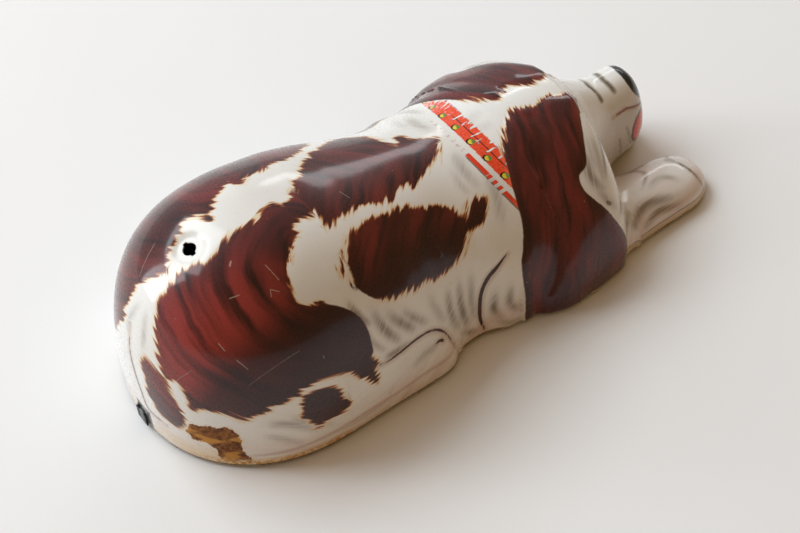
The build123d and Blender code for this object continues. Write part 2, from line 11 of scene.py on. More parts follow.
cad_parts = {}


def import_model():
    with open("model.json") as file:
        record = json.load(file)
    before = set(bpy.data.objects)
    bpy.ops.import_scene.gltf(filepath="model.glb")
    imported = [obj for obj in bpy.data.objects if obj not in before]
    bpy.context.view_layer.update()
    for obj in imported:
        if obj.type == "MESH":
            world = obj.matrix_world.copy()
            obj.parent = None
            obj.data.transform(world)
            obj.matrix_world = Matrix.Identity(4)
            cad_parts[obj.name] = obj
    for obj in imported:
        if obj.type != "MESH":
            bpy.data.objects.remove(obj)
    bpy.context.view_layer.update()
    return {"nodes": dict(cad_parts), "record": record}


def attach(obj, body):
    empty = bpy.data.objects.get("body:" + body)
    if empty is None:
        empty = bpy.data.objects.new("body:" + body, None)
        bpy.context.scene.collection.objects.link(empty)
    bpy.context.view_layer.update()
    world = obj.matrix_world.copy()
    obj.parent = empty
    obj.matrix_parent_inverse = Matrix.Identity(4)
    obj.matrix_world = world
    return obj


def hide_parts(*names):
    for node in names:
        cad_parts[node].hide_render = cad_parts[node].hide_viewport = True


MM = 0.001
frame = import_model()

# ---- the drawn tin form, in millimetres: the CAD shell's lobes, with the ears a little lower -----
RIM_Z = 1.4
SHEET = 0.4
GRID = 0.55                 # size of the shell's mesh cells
CHIN_SHARE, CHIN_TOP = 0.42, 13.0   # the muzzle is drawn in under the jaw by this share, up to this height
SHOULDER_X, SHOULDER_Z = (88, 104), 14      # where the ears' front edge is eased into the trunk
LOBES = {
    "trunk": dict(
        ends=(0, 37.6, 118, 128.4), round=(2.14, 2.6),
        tall_ends=(0, 36.5, 118, 128.4), tall_round=(2.83, 2.6), middle=[(0, 0)],
        half_width=[(0, 34.5), (52, 34.5), (60, 34), (66, 32.6), (72, 31), (79, 30.2), (83, 30.8), (88, 32.8),
                    (94, 33.2), (104, 33.2), (116, 32.6), (124, 31), (130, 28)],
        height=[(0, 51.2), (36, 51.2), (50, 48.8), (60, 46), (70, 43.2), (80, 40.6), (90, 38.2), (98, 37),
                (108, 37.6), (118, 36.2), (130, 33)],
        square=[(0, 2.48), (50, 2.45), (66, 2.3), (80, 2.15), (98, 2.05), (130, 2.2)]),
    "ears": dict(
        ends=(91, 95, 121, 130.8), round=(2.2, 2.6), tall_ends=(91, 92, 127, 130.8), tall_round=(2.2, 2.6),
        middle=[(91, 0)],
        half_width=[(91, 30.5), (94, 32.3), (98, 35.6), (105, 37.4), (113, 37), (120, 36.2), (132, 34.5)],
        height=[(91, 6), (94, 9), (97, 13), (100, 18), (103, 25), (106, 32.4), (109, 35.8), (113, 36.8),
                (120, 36.8), (127, 36), (132, 34.5)],
        square=[(91, 2.08)]),
    "head": dict(
        ends=(96, 110, 147.5, 156.8), round=(2.2, 2.4),
        tall_ends=(96, 100, 150, 156.8), tall_round=(2.2, 2.4),
        middle=[(96, 0), (130, 0), (157, 0.8)],
        half_width=[(96, 20), (118, 21), (128, 17.5), (134, 13.6), (142, 10.8), (150, 10), (157, 9.8)],
        height=[(96, 30), (104, 35.5), (110, 37.6), (120, 37), (128, 34.6), (134, 30.4), (142, 26.4),
                (150, 25.8), (157, 25)],
        square=[(96, 2.2), (157, 2.4)], chin=(128, 138)),
    "right_forepaw": dict(
        ends=(106, 112, 149, 160.2), round=(2.2, 2.2),
        tall_ends=(106, 107, 150, 160.2), tall_round=(2.2, 2.2),
        middle=[(106, -23), (150, -23), (160, -22.6)],
        half_width=[(106, 10), (128, 9.4), (140, 8.9), (160, 8.7)],
        height=[(106, 14), (126, 10.6), (136, 8.1), (150, 7.3), (160, 6.8)],
        square=[(106, 2.3), (160, 2.4)]),
    "left_forepaw": dict(
        ends=(106, 112, 131, 142), round=(2.2, 2.2), tall_ends=(106, 107, 132, 142), tall_round=(2.2, 2.2),
        middle=[(106, 23), (130, 22.4), (142, 20)],
        half_width=[(106, 10), (128, 9.4), (142, 9)],
        height=[(106, 14), (126, 11), (142, 8.5)],
        square=[(106, 2.3), (142, 2.4)]),
}
for side, sign in (("right", -1), ("left", 1)):
    LOBES[side + "_hindpaw"] = dict(
        ends=(38, 46, 66, 73.6), round=(2.2, 2.3), tall_ends=(38, 46, 66, 73.6), tall_round=(2.2, 2.3),
        middle=[(38, sign * 25.8), (60, sign * 26), (74, sign * 26.2)],
        half_width=[(38, 8.5), (60, 8.6), (74, 8)],
        height=[(38, 10), (50, 13), (60, 13.5), (74, 11)],
        square=[(38, 2.3)])


def smooth(x, stations):
    """The curve through stations (x, value) that never overshoots them, for an array of x."""
    xs, ys = np.array(stations, float).T
    if len(xs) == 1:
        return np.full_like(x, ys[0])
    rise = np.diff(ys) / np.diff(xs)
    slope = np.zeros(len(xs))
    turns = rise[:-1] * rise[1:]
    slope[1:-1] = np.divide(2 * turns, rise[:-1] + rise[1:], out=np.zeros(len(turns)), where=turns > 0)
    x = np.clip(x, xs[0], xs[-1])
    i = np.clip(np.searchsorted(xs, x, side="right") - 1, 0, len(xs) - 2)
    span = xs[i + 1] - xs[i]
    t = (x - xs[i]) / span
    return (ys[i] * (1 + 2 * t) * (1 - t) ** 2 + ys[i + 1] * t * t * (3 - 2 * t)
            + span * t * (1 - t) * (slope[i] * (1 - t) - slope[i + 1] * t))


def rounding(x, ends, blunt):
    """Share of full size at x, for a lobe with superelliptic ends."""
    start, full, closing, end = ends
    u = np.clip((full - x) / (full - start), 0, 1)
    v = np.clip((x - closing) / (end - closing), 0, 1)
    return (1 - u ** blunt[0]) ** (1 / blunt[0]) * (1 - v ** blunt[1]) ** (1 / blunt[1])


def arch_sizes(lobe, x):
    """Half-width, height, middle and squareness of a lobe's arch at x."""
    wide = smooth(x, lobe["half_width"]) * rounding(x, lobe["ends"], lobe["round"])
    tall = smooth(x, lobe["height"]) * rounding(x, lobe["tall_ends"], lobe["tall_round"])
    return wide, tall, smooth(x, lobe["middle"]), smooth(x, lobe["square"])


def drawn_in(lobe, x, rise):
    """Share of a lobe's width left under the chin."""
    if "chin" not in lobe:
        return np.ones(np.broadcast(x, rise).shape)
    t = np.clip((x - lobe["chin"][0]) / (lobe["chin"][1] - lobe["chin"][0]), 0, 1)
    return 1 - CHIN_SHARE * t * t * (3 - 2 * t) * np.clip(1 - rise / CHIN_TOP, 0, 1) ** 2


def lobe_mesh(lobe, rows=70, columns=48, depth=2.0):
    """A closed mesh of one lobe, carried straight down below the rim."""
    start, end = lobe["ends"][0], lobe["ends"][3]
    x = start + (end - start) * (1 - np.cos(np.linspace(0.04, math.pi - 0.04, rows))) / 2
    wide, tall, middle, square = (a[:, None] for a in arch_sizes(lobe, x))
    angle = np.linspace(0, math.pi, columns)[None, :]
    c, s = np.cos(angle), np.sin(angle)
    rise = tall * np.abs(s) ** (2 / square)
    y = middle + wide * np.sign(c) * np.abs(c) ** (2 / square) * drawn_in(lobe, x[:, None], rise)
    z = RIM_Z + rise
    low = np.full((rows, 1), RIM_Z - depth)
    y = np.hstack([y[:, :1], y, y[:, -1:]])
    z = np.hstack([low, z, low])
    points = np.stack([np.broadcast_to(x[:, None], y.shape), y, z], -1).reshape(-1, 3)
    n = columns + 2
    faces = [(i * n + j, i * n + (j + 1) % n, (i + 1) * n + (j + 1) % n, (i + 1) * n + j)
             for i in range(rows - 1) for j in range(n)]
    faces += [tuple(range(n - 1, -1, -1)), tuple((rows - 1) * n + j for j in range(n))]
    return points, faces


def lobe_gap(lobe, points):
    """How far points lie outside a lobe, measured across it in its own section."""
    start, end = lobe["ends"][0] + 0.04, lobe["ends"][3] - 0.04
    x = np.clip(points[:, 0], start, end)
    wide, tall, middle, square = arch_sizes(lobe, x)
    z = np.maximum(points[:, 2] - RIM_Z, 0)
    y = np.abs(points[:, 1] - middle) / drawn_in(lobe, x, z)
    share = ((y / wide) ** square + (z / tall) ** square + 1e-12) ** (1 / square)
    return np.hypot(y, z) * (1 - 1 / share) + np.abs(points[:, 0] - x)


def gap_and_normal(points, blend=5.0, step=0.03):
    """Distance outside the form, its lobes run into each other as in drawn tin, and the form's normal."""
    total, normal = None, None
    for lobe in LOBES.values():
        gap = lobe_gap(lobe, points)
        ahead = np.stack([lobe_gap(lobe, points + step * axis) - gap for axis in np.eye(3)], -1) / step
        size = np.maximum(np.linalg.norm(ahead, axis=1, keepdims=True), 0.3)
        gap, ahead = gap / size[:, 0], ahead / size
        if total is None:
            total, normal = gap, ahead
            continue
        reach = np.maximum(blend * (1 - np.einsum("ij,ij->i", normal, ahead)), 1e-3)
        share = np.clip(0.5 + 0.5 * (total - gap) / reach, 0, 1)
        total = total * (1 - share) + gap * share - reach * share * (1 - share)
        normal = normal * (1 - share)[:, None] + ahead * share[:, None]
        normal /= np.maximum(np.linalg.norm(normal, axis=1, keepdims=True), 1e-9)
    return total, normal


# ---- plan of the print: the tin laid out flat ----------------------------------------------------
# u runs from the rump to the nose and v across, 0 on the spine and negative on the dog's right.
# Ahead of TURN_X the girth is unrolled; behind it the rump is laid out as a fan round the same centre.
TURN_X, PLAN_RADIUS = 37.0, 35.0


def plan_of(points):
    x, y, z = points[:, 0], points[:, 1], points[:, 2] - RIM_Z
    behind = np.minimum(x - TURN_X, 0)
    reach = np.maximum(np.hypot(behind, y), 1e-9)
    scale = PLAN_RADIUS * np.arctan2(reach, np.maximum(z, 0)) / reach
    return np.stack([np.maximum(x, TURN_X) + behind * scale, y * scale], -1)


def mirrored(points):
    """The same points on the dog's other side."""
    return [(u, -v) for u, v in points]


HAUNCH = [
    (48, -0.5), (44, -2.5), (42.5, -1), (40, -1.5), (37, -3), (33, -2.3), (29, -3.4), (26.5, -3.6),
    (22.5, -2.3), (17.5, -2.5), (14.5, -4), (12, -5), (9, -7.8), (6.4, -10.6), (8.2, -13), (7, -16),
    (4.2, -18.6), (7.4, -21.6), (10.3, -25.4), (12.4, -29.2), (16.5, -31), (20, -31.4), (26, -32.4),
    (31.5, -32.3), (38.5, -34.4), (42, -37), (46.6, -43), (46.8, -36), (47.2, -31), (47, -26.8),
    (45, -23.3), (40.7, -20.4), (36.2, -18.6), (34.6, -16.4), (36.6, -11.8), (38, -10), (41.6, -8),
    (45.4, -6.2), (50.5, -6.4), (49.6, -9.3), (54, -8.8), (59.5, -7.7), (65, -8.7), (69.4, -8.2),
    (74, -7.2), (76.5, -8.3), (79.6, -7.4), (83, -6), (87, -3.6), (90.4, 0), (90.8, 1.6), (86, 3.1),
    (83.2, 6), (81, 3.2), (79.6, 5), (77.5, 9.5), (73, 14.5), (66, 11), (60, 8), (55, 4.6)]
LEFT_RUMP = [
    (66, 17), (58.5, 10), (50, 8), (44, 7.2), (39.6, 5.6), (38.2, 7.4), (35.3, 6), (33, 3.9), (31.2, 1.6),
    (30, 4), (28, 4.6), (26.4, 3.6), (24.4, 2.6), (22.4, 0.9), (20.8, -0.7), (19.6, 0.8), (16.2, 3.1),
    (13.4, 4.2), (10, 5), (6.5, 7), (3, 10.5), (2.6, 14.5), (5.5, 18), (8, 22.5), (12, 27), (18, 30.5),
    (25, 31.5), (32, 31), (38, 33.5), (43, 38.5), (45.5, 34), (45, 28.5), (47.5, 24), (53, 22), (60, 22.6),
    (66, 21.5)]
FLANK = [
    (58, -11), (60.5, -10.5), (66, -11.4), (68.5, -11.1), (74.3, -12.4), (81, -15), (83, -18.2),
    (86, -17.1), (89, -16.2), (91.4, -17.2), (90.8, -19.8), (88.5, -22.3), (84.5, -22.4), (82, -23.6),
    (78, -26.7), (73.7, -27.2), (69, -26.4), (64.3, -26.3), (60.5, -26.2), (56.6, -25.4), (52.5, -24),
    (50, -22), (48.3, -19.4), (49, -16.8), (51, -14), (53.6, -12)]
SLIVER = [
    (49.4, -14), (48, -15.1), (46.8, -16.8), (47.2, -19), (48, -20.6), (47.7, -17.8), (48.5, -15.6)]
SPOT = [
    (27, -34), (31, -34.2), (35.8, -36.8), (37.6, -41), (37.8, -44.6), (32.2, -45), (27.2, -44.6),
    (25.2, -40.6), (25.2, -36)]
REAR_PATCH = [
    (6.2, -3.4), (5.9, -8.4), (5.2, -11.6), (2.4, -15.8), (0, -18), (-3.6, -19), (-5.8, -15.8),
    (-6.3, -10.6), (-2.6, -6.7), (2, -4.6)]
LEFT_FLANK = [
    (72, 19), (80, 17), (87, 19.5), (90, 25), (86.5, 31), (79, 33.5), (71, 31.5), (67.5, 25.5)]
LEFT_SPOT = [
    (20, 37.5), (26, 36), (30.5, 39), (29, 44), (22.5, 46), (18, 42.5)]
EAR_LOWER = [          # the ear's hanging part, the same on both sides
    (95.6, -31.6), (93.2, -37), (92.6, -45), (93, -58), (109, -60), (123, -58), (124.6, -50), (124, -45.3),
    (121.4, -39), (119, -33.8), (115.6, -27.8), (116, -24)]
RIGHT_EAR = [
    (106.9, -4.6), (105, -6.8), (103.4, -8.6), (101.8, -12), (99.6, -17.8), (98.4, -22.6), (97.4, -27),
    *EAR_LOWER,
    (119.4, -22.4), (122.6, -17), (126.6, -10.5), (130.5, -5.2), (126, -4.2), (121.8, -3.3), (118, -3.6),
    (114.6, -3), (112.8, -1.6), (110.4, -2.6)]
LEFT_EAR = [
    (108.6, 4.6), (105.4, 7.6), (103.2, 12.5), (101, 17.5), (99, 22.6), (97.8, 27),
    *mirrored(EAR_LOWER),
    (119.4, 22), (123.4, 17), (128, 11), (133.5, 6.4), (128, 3.4), (121.8, 2.8), (116, 5), (112.4, 3.4)]
COAT_PATCHES = [HAUNCH, LEFT_RUMP, FLANK, SLIVER, SPOT, REAR_PATCH, LEFT_FLANK, LEFT_SPOT]
EAR_PATCHES = [RIGHT_EAR, LEFT_EAR]
BARE_PATCHES = [[
    (-2.6, -19.6), (0, -20.8), (3.1, -24.3), (6.9, -28.3), (7.3, -31), (6.5, -33.6), (4.4, -35.6),
    (3.2, -38.8), (2, -44), (-8, -40), (-7, -35), (-3.4, -31.4), (-2.2, -28.2), (-4.4, -24.4), (-4.6, -21.6)]]

# Painted lines: points in plan, half-width at the middle in mm.
TAIL_LINE = ([
    (9, 2), (3.3, 1.4), (-1, -0.6), (-5, -2.9), (-9.2, -5.2), (-9.4, -8.6), (-8.6, -13.6)], 0.26)
SIDE_LINES = [
    ([(46.8, -37.6), (50, -38.3), (54, -38.1), (59.2, -37.6), (63.6, -38.3), (67, -40.6), (69.4, -44.4),
      (71, -49.6)], 0.34),
    ([(90.6, -31.6), (86.3, -33.8), (83.5, -36), (81.2, -40), (80.3, -47.8), (81.6, -55)], 0.52),
    ([(64.6, -43.4), (66.4, -43.6), (67.8, -45)], 0.42),
]
INK_LINES = [TAIL_LINE] + [(line, half) for run, half in SIDE_LINES for line in (run, mirrored(run))]
PRESSED_LINES = INK_LINES[1:5]      # these are grooves in the tin as well
# Soft grey brush strokes: two ends and a bend in plan, width in mm, strength.
STROKES = [
    ((44.6, -21.4), (46.4, -25), (48.6, -28), 0.9, 0.9), ((46.6, -26), (47.4, -31), (51, -36), 0.9, 0.5),
    ((49.6, -25), (51.6, -30.6), (55, -35.6), 1.3, 0.8), ((52.6, -27), (56.6, -31.6), (60, -35.4), 1.4, 0.75),
    ((57, -28.5), (60, -32), (64, -36), 1.2, 0.6), ((49.4, -36.4), (52.4, -36.9), (57, -36.6), 1.1, 0.8),
    ((66, -29), (67, -34), (69.5, -40), 1.4, 0.35), ((72, -31), (71.5, -38), (73, -46), 1.3, 0.65),
    ((76, -31), (75, -39), (76.5, -49), 1.3, 0.75), ((80, -31), (78.4, -39), (78.6, -48), 1.2, 0.5),
    ((74, -47), (77, -51), (80, -53), 1.2, 0.6), ((85, -40), (84, -46), (86, -52), 1.1, 0.7),
    ((89, -40), (88, -46), (91, -51), 1.2, 0.7), ((84, -50), (87.5, -53.4), (92, -53.5), 1.2, 0.55),
    ((92, -4), (90.6, -9), (91.6, -15), 1.6, 0.4), ((95.4, -12), (94.4, -18), (92, -25), 1.6, 0.42),
    ((88, -8), (87.4, -12), (88.4, -15), 1.2, 0.25), ((99, 0), (103, -2), (106, -2), 1.6, 0.15),
    ((121.6, -20), (119, -25), (121, -31), 1.5, 0.75), ((124, -16), (122, -22), (122.6, -28), 1.2, 0.35),
    ((118.6, -27), (120.4, -32), (123.4, -37), 1.1, 0.45),
    ((15, -34), (20, -38), (27, -46), 1.3, 0.5), ((21, -36), (25, -41), (33, -48), 1.2, 0.4),
    ((12, -36), (16, -41), (21, -48), 1.2, 0.3), ((14, -1), (10, -2.6), (6.5, -3), 1.0, 0.35),
    ((128, -48), (136, -46), (146, -48), 1.4, 0.85), ((132, -51), (139, -49), (148, -51.5), 1.2, 0.8),
    ((140, -44), (146, -44), (150, -46), 1.0, 0.45), ((124, -50), (127, -46), (131, -43), 1.2, 0.6),
    ((139, -43.6), (148, -41.9), (153.4, -44), 0.5, 0.9),
    ((152, -42.6), (154.4, -46), (155.6, -52), 0.5, 1.0),
    ((129, -13.6), (126.4, -21), (122.6, -28.6), 0.6, 1.0),
    ((125.6, -17), (123.4, -23), (121.4, -29), 1.0, 0.6),
    ((127.6, -31), (125, -36), (122.6, -39), 0.9, 0.6), ((56, -45), (61, -43.5), (66, -44.4), 1.4, 0.4),
]
STROKES += [(*mirrored(run), width, strength) for *run, width, strength in STROKES]
HAUNCH_CENTRE = (41, -14)


def rounded(points, closed, pieces=6):
    """A smooth run through the given points."""
    p = np.array(points, float)
    if closed:
        p = np.vstack([p[-1], p, p[:2]])
    else:
        p = np.vstack([2 * p[0] - p[1], p, 2 * p[-1] - p[-2]])
    t = np.linspace(0, 1, pieces, endpoint=False)[:, None]
    runs = []
    for a, b, c, d in zip(p, p[1:], p[2:], p[3:]):
        bend, twist = 2 * a - 5 * b + 4 * c - d, 3 * b - a - 3 * c + d
        runs.append(0.5 * (2 * b + (c - a) * t + bend * t**2 + twist * t**3))
    line = np.vstack(runs)
    return line if closed else np.vstack([line, p[-2]])


def nearest(points, line, closed):
    """Distance to a line, the direction away from it, and the share of its length at the nearest place."""
    a = line if closed else line[:-1]
    b = np.roll(line, -1, 0) if closed else line[1:]
    run = b - a
    rel = points[:, None, :] - a[None]
    t = np.clip((rel * run).sum(-1) / np.maximum((run * run).sum(-1), 1e-9), 0, 1)
    away = rel - t[..., None] * run
    d2 = (away * away).sum(-1)
    k = d2.argmin(1)
    row = np.arange(len(points))
    distance = np.sqrt(d2[row, k])
    return distance, away[row, k] / np.maximum(distance, 1e-6)[:, None], (k + t[row, k]) / len(a)


def inside(points, line):
    """True where points lie within a closed line."""
    a, b = line, np.roll(line, -1, 0)
    y = points[:, None, 1]
    spans = (a[:, 1] > y) != (b[:, 1] > y)
    climb = np.where(b[:, 1] == a[:, 1], 1e-9, b[:, 1] - a[:, 1])
    cross = a[:, 0] + (y - a[:, 1]) * (b[:, 0] - a[:, 0]) / climb
    return (spans & (points[:, None, 0] < cross)).sum(1) % 2 == 1


class Print:
    """Places on the tin, with their plan and how it stretches, for measuring distances to printed shapes."""

    def __init__(self, points, normals):
        self.points, self.plan = points, plan_of(points)
        across = np.cross(normals, (1.0, 0.0, 0.0))
        short = np.linalg.norm(across, axis=1) < 0.1
        across[short] = np.cross(normals[short], (0.0, 1.0, 0.0))
        across /= np.linalg.norm(across, axis=1, keepdims=True)
        along = np.cross(normals, across)
        step = 0.05
        self.turn = np.stack([(plan_of(points + step * d) - self.plan) / step for d in (along, across)], 1)

    def true(self, distance, away, which):
        """A plan distance turned into one on the tin."""
        stretch = np.linalg.norm(np.einsum("nij,nj->ni", self.turn[which], away), axis=1)
        return distance / np.clip(stretch, 0.4, 3.0)

    def near(self, line, margin):
        low, high = line.min(0) - margin, line.max(0) + margin
        return np.flatnonzero(((self.plan > low) & (self.plan < high)).all(1))

    def patches(self, outlines, margin=9.0):
        """Distance outside the nearest of the outlines, negative inside."""
        out = np.full(len(self.plan), margin)
        for outline in outlines:
            line = rounded(outline, True)
            for which in np.array_split(self.near(line, margin), 24):
                distance, away, _ = nearest(self.plan[which], line, True)
                distance = self.true(distance, away, which)
                distance[inside(self.plan[which], line)] *= -1
                out[which] = np.minimum(out[which], distance)
        return out

    def lines(self, lines, margin=5.0):
        """Distance outside the nearest painted line, each tapering to its ends."""
        out = np.full(len(self.plan), margin)
        for points, half_width in lines:
            line = rounded(points, False)
            which = self.near(line, margin)
            distance, away, along = nearest(self.plan[which], line, False)
            half = half_width * np.clip(4 * np.minimum(along, 1 - along), 0, 1) ** 0.6
            out[which] = np.minimum(out[which], self.true(distance, away, which) - half)
        return out

    def strokes(self, strokes, margin=8.0):
        """Strength of the soft brush strokes, from 0 to 1."""
        out = np.zeros(len(self.plan))
        for first, bend, last, width, strength in strokes:
            line = rounded([first, bend, last], False)
            which = self.near(line, margin)
            distance, away, along = nearest(self.plan[which], line, False)
            distance = self.true(distance, away, which)
            fade = np.sin(math.pi * np.clip(along, 0.02, 0.98)) ** 0.7
            out[which] = np.maximum(out[which], strength * fade * np.exp(-((distance / width) ** 2)))
        return out

    def fur(self):
        """Coordinates along and across the lie of the painted hair, in mm."""
        u, v = self.plan.T
        side = np.where(v < 0, -1.0, 1.0)
        w = np.abs(v)
        body = np.stack([0.75 * u - 0.66 * w, 0.66 * u + 0.75 * w], -1)
        ear = np.stack([w - 0.39 * u, u + 0.39 * w], -1)
        du, dv = u - HAUNCH_CENTRE[0], w + HAUNCH_CENTRE[1]
        radius = np.hypot(du, dv)
        thigh = np.stack([12 * np.arctan2(dv, -du), radius], -1)
        muzzle = np.stack([u, w], -1)
        fur = np.where((u < 49)[:, None], thigh, body)
        fur = np.where(((u > 100 - 0.12 * w) & (u < 134))[:, None], ear, fur)
        fur = np.where((u > 134)[:, None], muzzle, fur)
        return np.column_stack([fur, side])


# ---- meshes --------------------------------------------------------------------------------------
def mesh_object(name, points, faces):
    """A piece from points in millimetres."""
    mesh = bpy.data.meshes.new(name)
    mesh.from_pydata([tuple(p) for p in np.asarray(points, float) * MM], [], faces)
    mesh.validate()
    thing = bpy.data.objects.new(name, mesh)
    bpy.context.scene.collection.objects.link(thing)
    return thing


def apply_modifiers(thing):
    """Puts the modified mesh in place of the object's own."""
    graph = bpy.context.evaluated_depsgraph_get()
    made = bpy.data.meshes.new_from_object(thing.evaluated_get(graph))
    old = thing.data
    thing.modifiers.clear()
    thing.data = made
    bpy.data.meshes.remove(old)


def read_points(mesh):
    co = np.empty(len(mesh.vertices) * 3, np.float32)
    mesh.vertices.foreach_get("co", co)
    return co.reshape(-1, 3).astype(float) / MM


def write_points(mesh, points):
    mesh.vertices.foreach_set("co", (points * MM).astype(np.float32).ravel())
    mesh.update()


def write_attribute(mesh, name, values):
    if values.ndim == 1:
        made = mesh.attributes.new(name, "FLOAT", "POINT")
        made.data.foreach_set("value", values.astype(np.float32))
    else:
        if values.shape[1] == 2:
            values = np.column_stack([values, np.zeros(len(values))])
        made = mesh.attributes.new(name, "FLOAT_VECTOR", "POINT")
        made.data.foreach_set("vector", values.astype(np.float32).ravel())


def back_height(x):
    """Height of the spine above the rim."""
    return arch_sizes(LOBES["trunk"], np.array([float(x)]))[1][0]


TAIL_X, TAIL_R, DIMPLE_DEPTH, DIMPLE_FLOOR_R, DIMPLE_MOUTH_R = 20.7, 1.7, 0.7, 2.6, 5.2
KEY_HOLE_AT, KEY_HOLE_R = (56.0, 15.0), 2.2
TAIL_SLOPE = (back_height(TAIL_X + 0.2) - back_height(TAIL_X - 0.2)) / 0.4
TAIL_AT = np.array([TAIL_X, 0, RIM_Z + back_height(TAIL_X)])
TAIL_UP = np.array([-TAIL_SLOPE, 0, 1]) / math.hypot(1, TAIL_SLOPE)
TAIL_ALONG = np.array([TAIL_UP[2], 0, -TAIL_UP[0]])


def tail_polar(points):
    """Distance from the tail hole's axis, and the angle round it."""
    rel = points - TAIL_AT
    a, b = rel @ TAIL_ALONG, rel[:, 1]
    return np.hypot(a, b), np.arctan2(b, a), rel @ TAIL_UP


def tail_edge(angle):
    """Radius of the tail hole at an angle, with its two small slots."""
    off = angle % math.pi - math.pi / 2
    slot = np.minimum(0.6 / np.maximum(np.abs(np.sin(off)), 1e-3), TAIL_R + 0.5)
    return np.maximum(TAIL_R, slot)


def cut_round(bm, distance_and_edge, put, reach):
    """Cuts a hole in a shell: refines the mesh around it, opens it and moves its border onto the edge."""
    for _ in range(2):
        close = [f for f in bm.faces if distance_and_edge(f.calc_center_median() / MM)[0] < reach]
        edges = list({e for f in close for e in f.edges})
        bmesh.ops.subdivide_edges(bm, edges=edges, cuts=1, use_grid_fill=True)
    gone = []
    for f in bm.faces:
        distance, edge = distance_and_edge(f.calc_center_median() / MM)
        if distance < edge:
            gone.append(f)
    border = {v for f in gone for v in f.verts}
    bmesh.ops.delete(bm, geom=gone, context="FACES")
    for v in border:
        if v.is_valid and v.link_faces:
            v.co = put(v.co / MM) * MM


def tail_distance(p):
    radius, angle, height = (a[0] for a in tail_polar(np.array([p])))
    return (radius if abs(height) < 6 else 99.0), float(tail_edge(np.array([angle]))[0])


def onto_tail_edge(p):
    radius, angle, height = (a[0] for a in tail_polar(np.array([p])))
    edge = float(tail_edge(np.array([angle]))[0])
    outward = TAIL_ALONG * math.cos(angle) + np.array([0, 1, 0]) * math.sin(angle)
    return Vector(TAIL_AT + TAIL_UP * height + edge * outward)


def key_distance(p):
    away = math.hypot(p[0] - KEY_HOLE_AT[0], p[2] - KEY_HOLE_AT[1])
    return (away if p[1] > 20 else 99.0), KEY_HOLE_R


def onto_key_edge(p):
    angle = math.atan2(p[2] - KEY_HOLE_AT[1], p[0] - KEY_HOLE_AT[0])
    return Vector((KEY_HOLE_AT[0] + KEY_HOLE_R * math.cos(angle), p[1],
                   KEY_HOLE_AT[1] + KEY_HOLE_R * math.sin(angle)))


def ease(mesh, p, share, rounds):
    """Evens out part of a surface: each point moves to the middle of its neighbours, by its share."""
    pairs = np.empty(len(mesh.edges) * 2, np.int32)
    mesh.edges.foreach_get("vertices", pairs)
    a, b = pairs.reshape(-1, 2).T
    count = np.bincount(np.concatenate([a, b]), minlength=len(p))[:, None]
    for _ in range(rounds):
        total = [np.bincount(a, p[b, k], len(p)) + np.bincount(b, p[a, k], len(p)) for k in range(3)]
        p += 0.6 * share[:, None] * (np.stack(total, -1) / count - p)


def tin_form():
    """The outside of the shell as a fine mesh, open at the rim."""
    points, faces = [], []
    for lobe in LOBES.values():
        p, f = lobe_mesh(lobe)
        base = sum(len(q) for q in points)
        points.append(p)
        faces += [tuple(base + k for k in face) for face in f]
    thing = mesh_object("tin_shell", np.vstack(points), faces)
    remesh = thing.modifiers.new("even", "REMESH")
    remesh.mode = "VOXEL"
    remesh.voxel_size = GRID * MM
    apply_modifiers(thing)
    p = read_points(thing.data)
    for _ in range(5):
        gap, normal = gap_and_normal(p)
        p -= np.clip(gap, -0.8, 0.8)[:, None] * normal * np.where(p[:, 2] > RIM_Z - 1.4, 1, 0)[:, None]
        p[:, 0] = np.maximum(p[:, 0], 0)
    shoulder = np.clip((p[:, 0] - SHOULDER_X[0]) / 3, 0, 1) * np.clip((SHOULDER_X[1] - p[:, 0]) / 3, 0, 1)
    ease(thing.data, p, shoulder * np.clip((p[:, 2] - SHOULDER_Z) / 6, 0, 1), 24)
    write_points(thing.data, p)
    bm = bmesh.new()
    bm.from_mesh(thing.data)
    everything = bm.verts[:] + bm.edges[:] + bm.faces[:]
    bmesh.ops.bisect_plane(bm, geom=everything, plane_co=(0, 0, RIM_Z * MM), plane_no=(0, 0, 1),
                           clear_inner=True)
    cut_round(bm, key_distance, onto_key_edge, KEY_HOLE_R + 1.5)
    cut_round(bm, tail_distance, onto_tail_edge, TAIL_R + 1.8)
    bmesh.ops.triangulate(bm, faces=[f for f in bm.faces if len(f.verts) > 4])
    bm.to_mesh(thing.data)
    bm.free()
    return thing


def relief(p, form):
    """How far the pressed details stand above the plain form, in mm."""
    radius, _, height = tail_polar(p)
    near_tail = (np.abs(height) < 8) & (radius < 9)
    slope = np.clip((DIMPLE_MOUTH_R - radius) / (DIMPLE_MOUTH_R - DIMPLE_FLOOR_R), 0, 1)
    dimple = np.where(near_tail, -DIMPLE_DEPTH * slope**2 * (3 - 2 * slope), 0)
    crease = form.lines(PRESSED_LINES, margin=6.0)
    grooves = -0.3 * np.exp(-((np.maximum(crease, 0) / 0.7) ** 2))
    ears = form.patches(EAR_PATCHES)
    flap = 0.45 * np.clip(-ears / 2.2, 0, 1) ** 0.6
    low = np.clip((p[:, 2] - RIM_Z) / 5, 0, 1)
    return dimple + grooves * low + flap * low


LUG_XS, LUG_LENGTH, LUG_FOLD = (60.0, 110.0), 5.0, 3.0


def rim_y(x):
    """Half-width of the rim at station x."""
    reach = []
    for lobe in LOBES.values():
        if lobe["ends"][0] < x < lobe["ends"][3]:
            wide, _, middle, _ = arch_sizes(lobe, np.array([x]))
            reach.append(float(middle[0] + wide[0]))
    return max(reach)


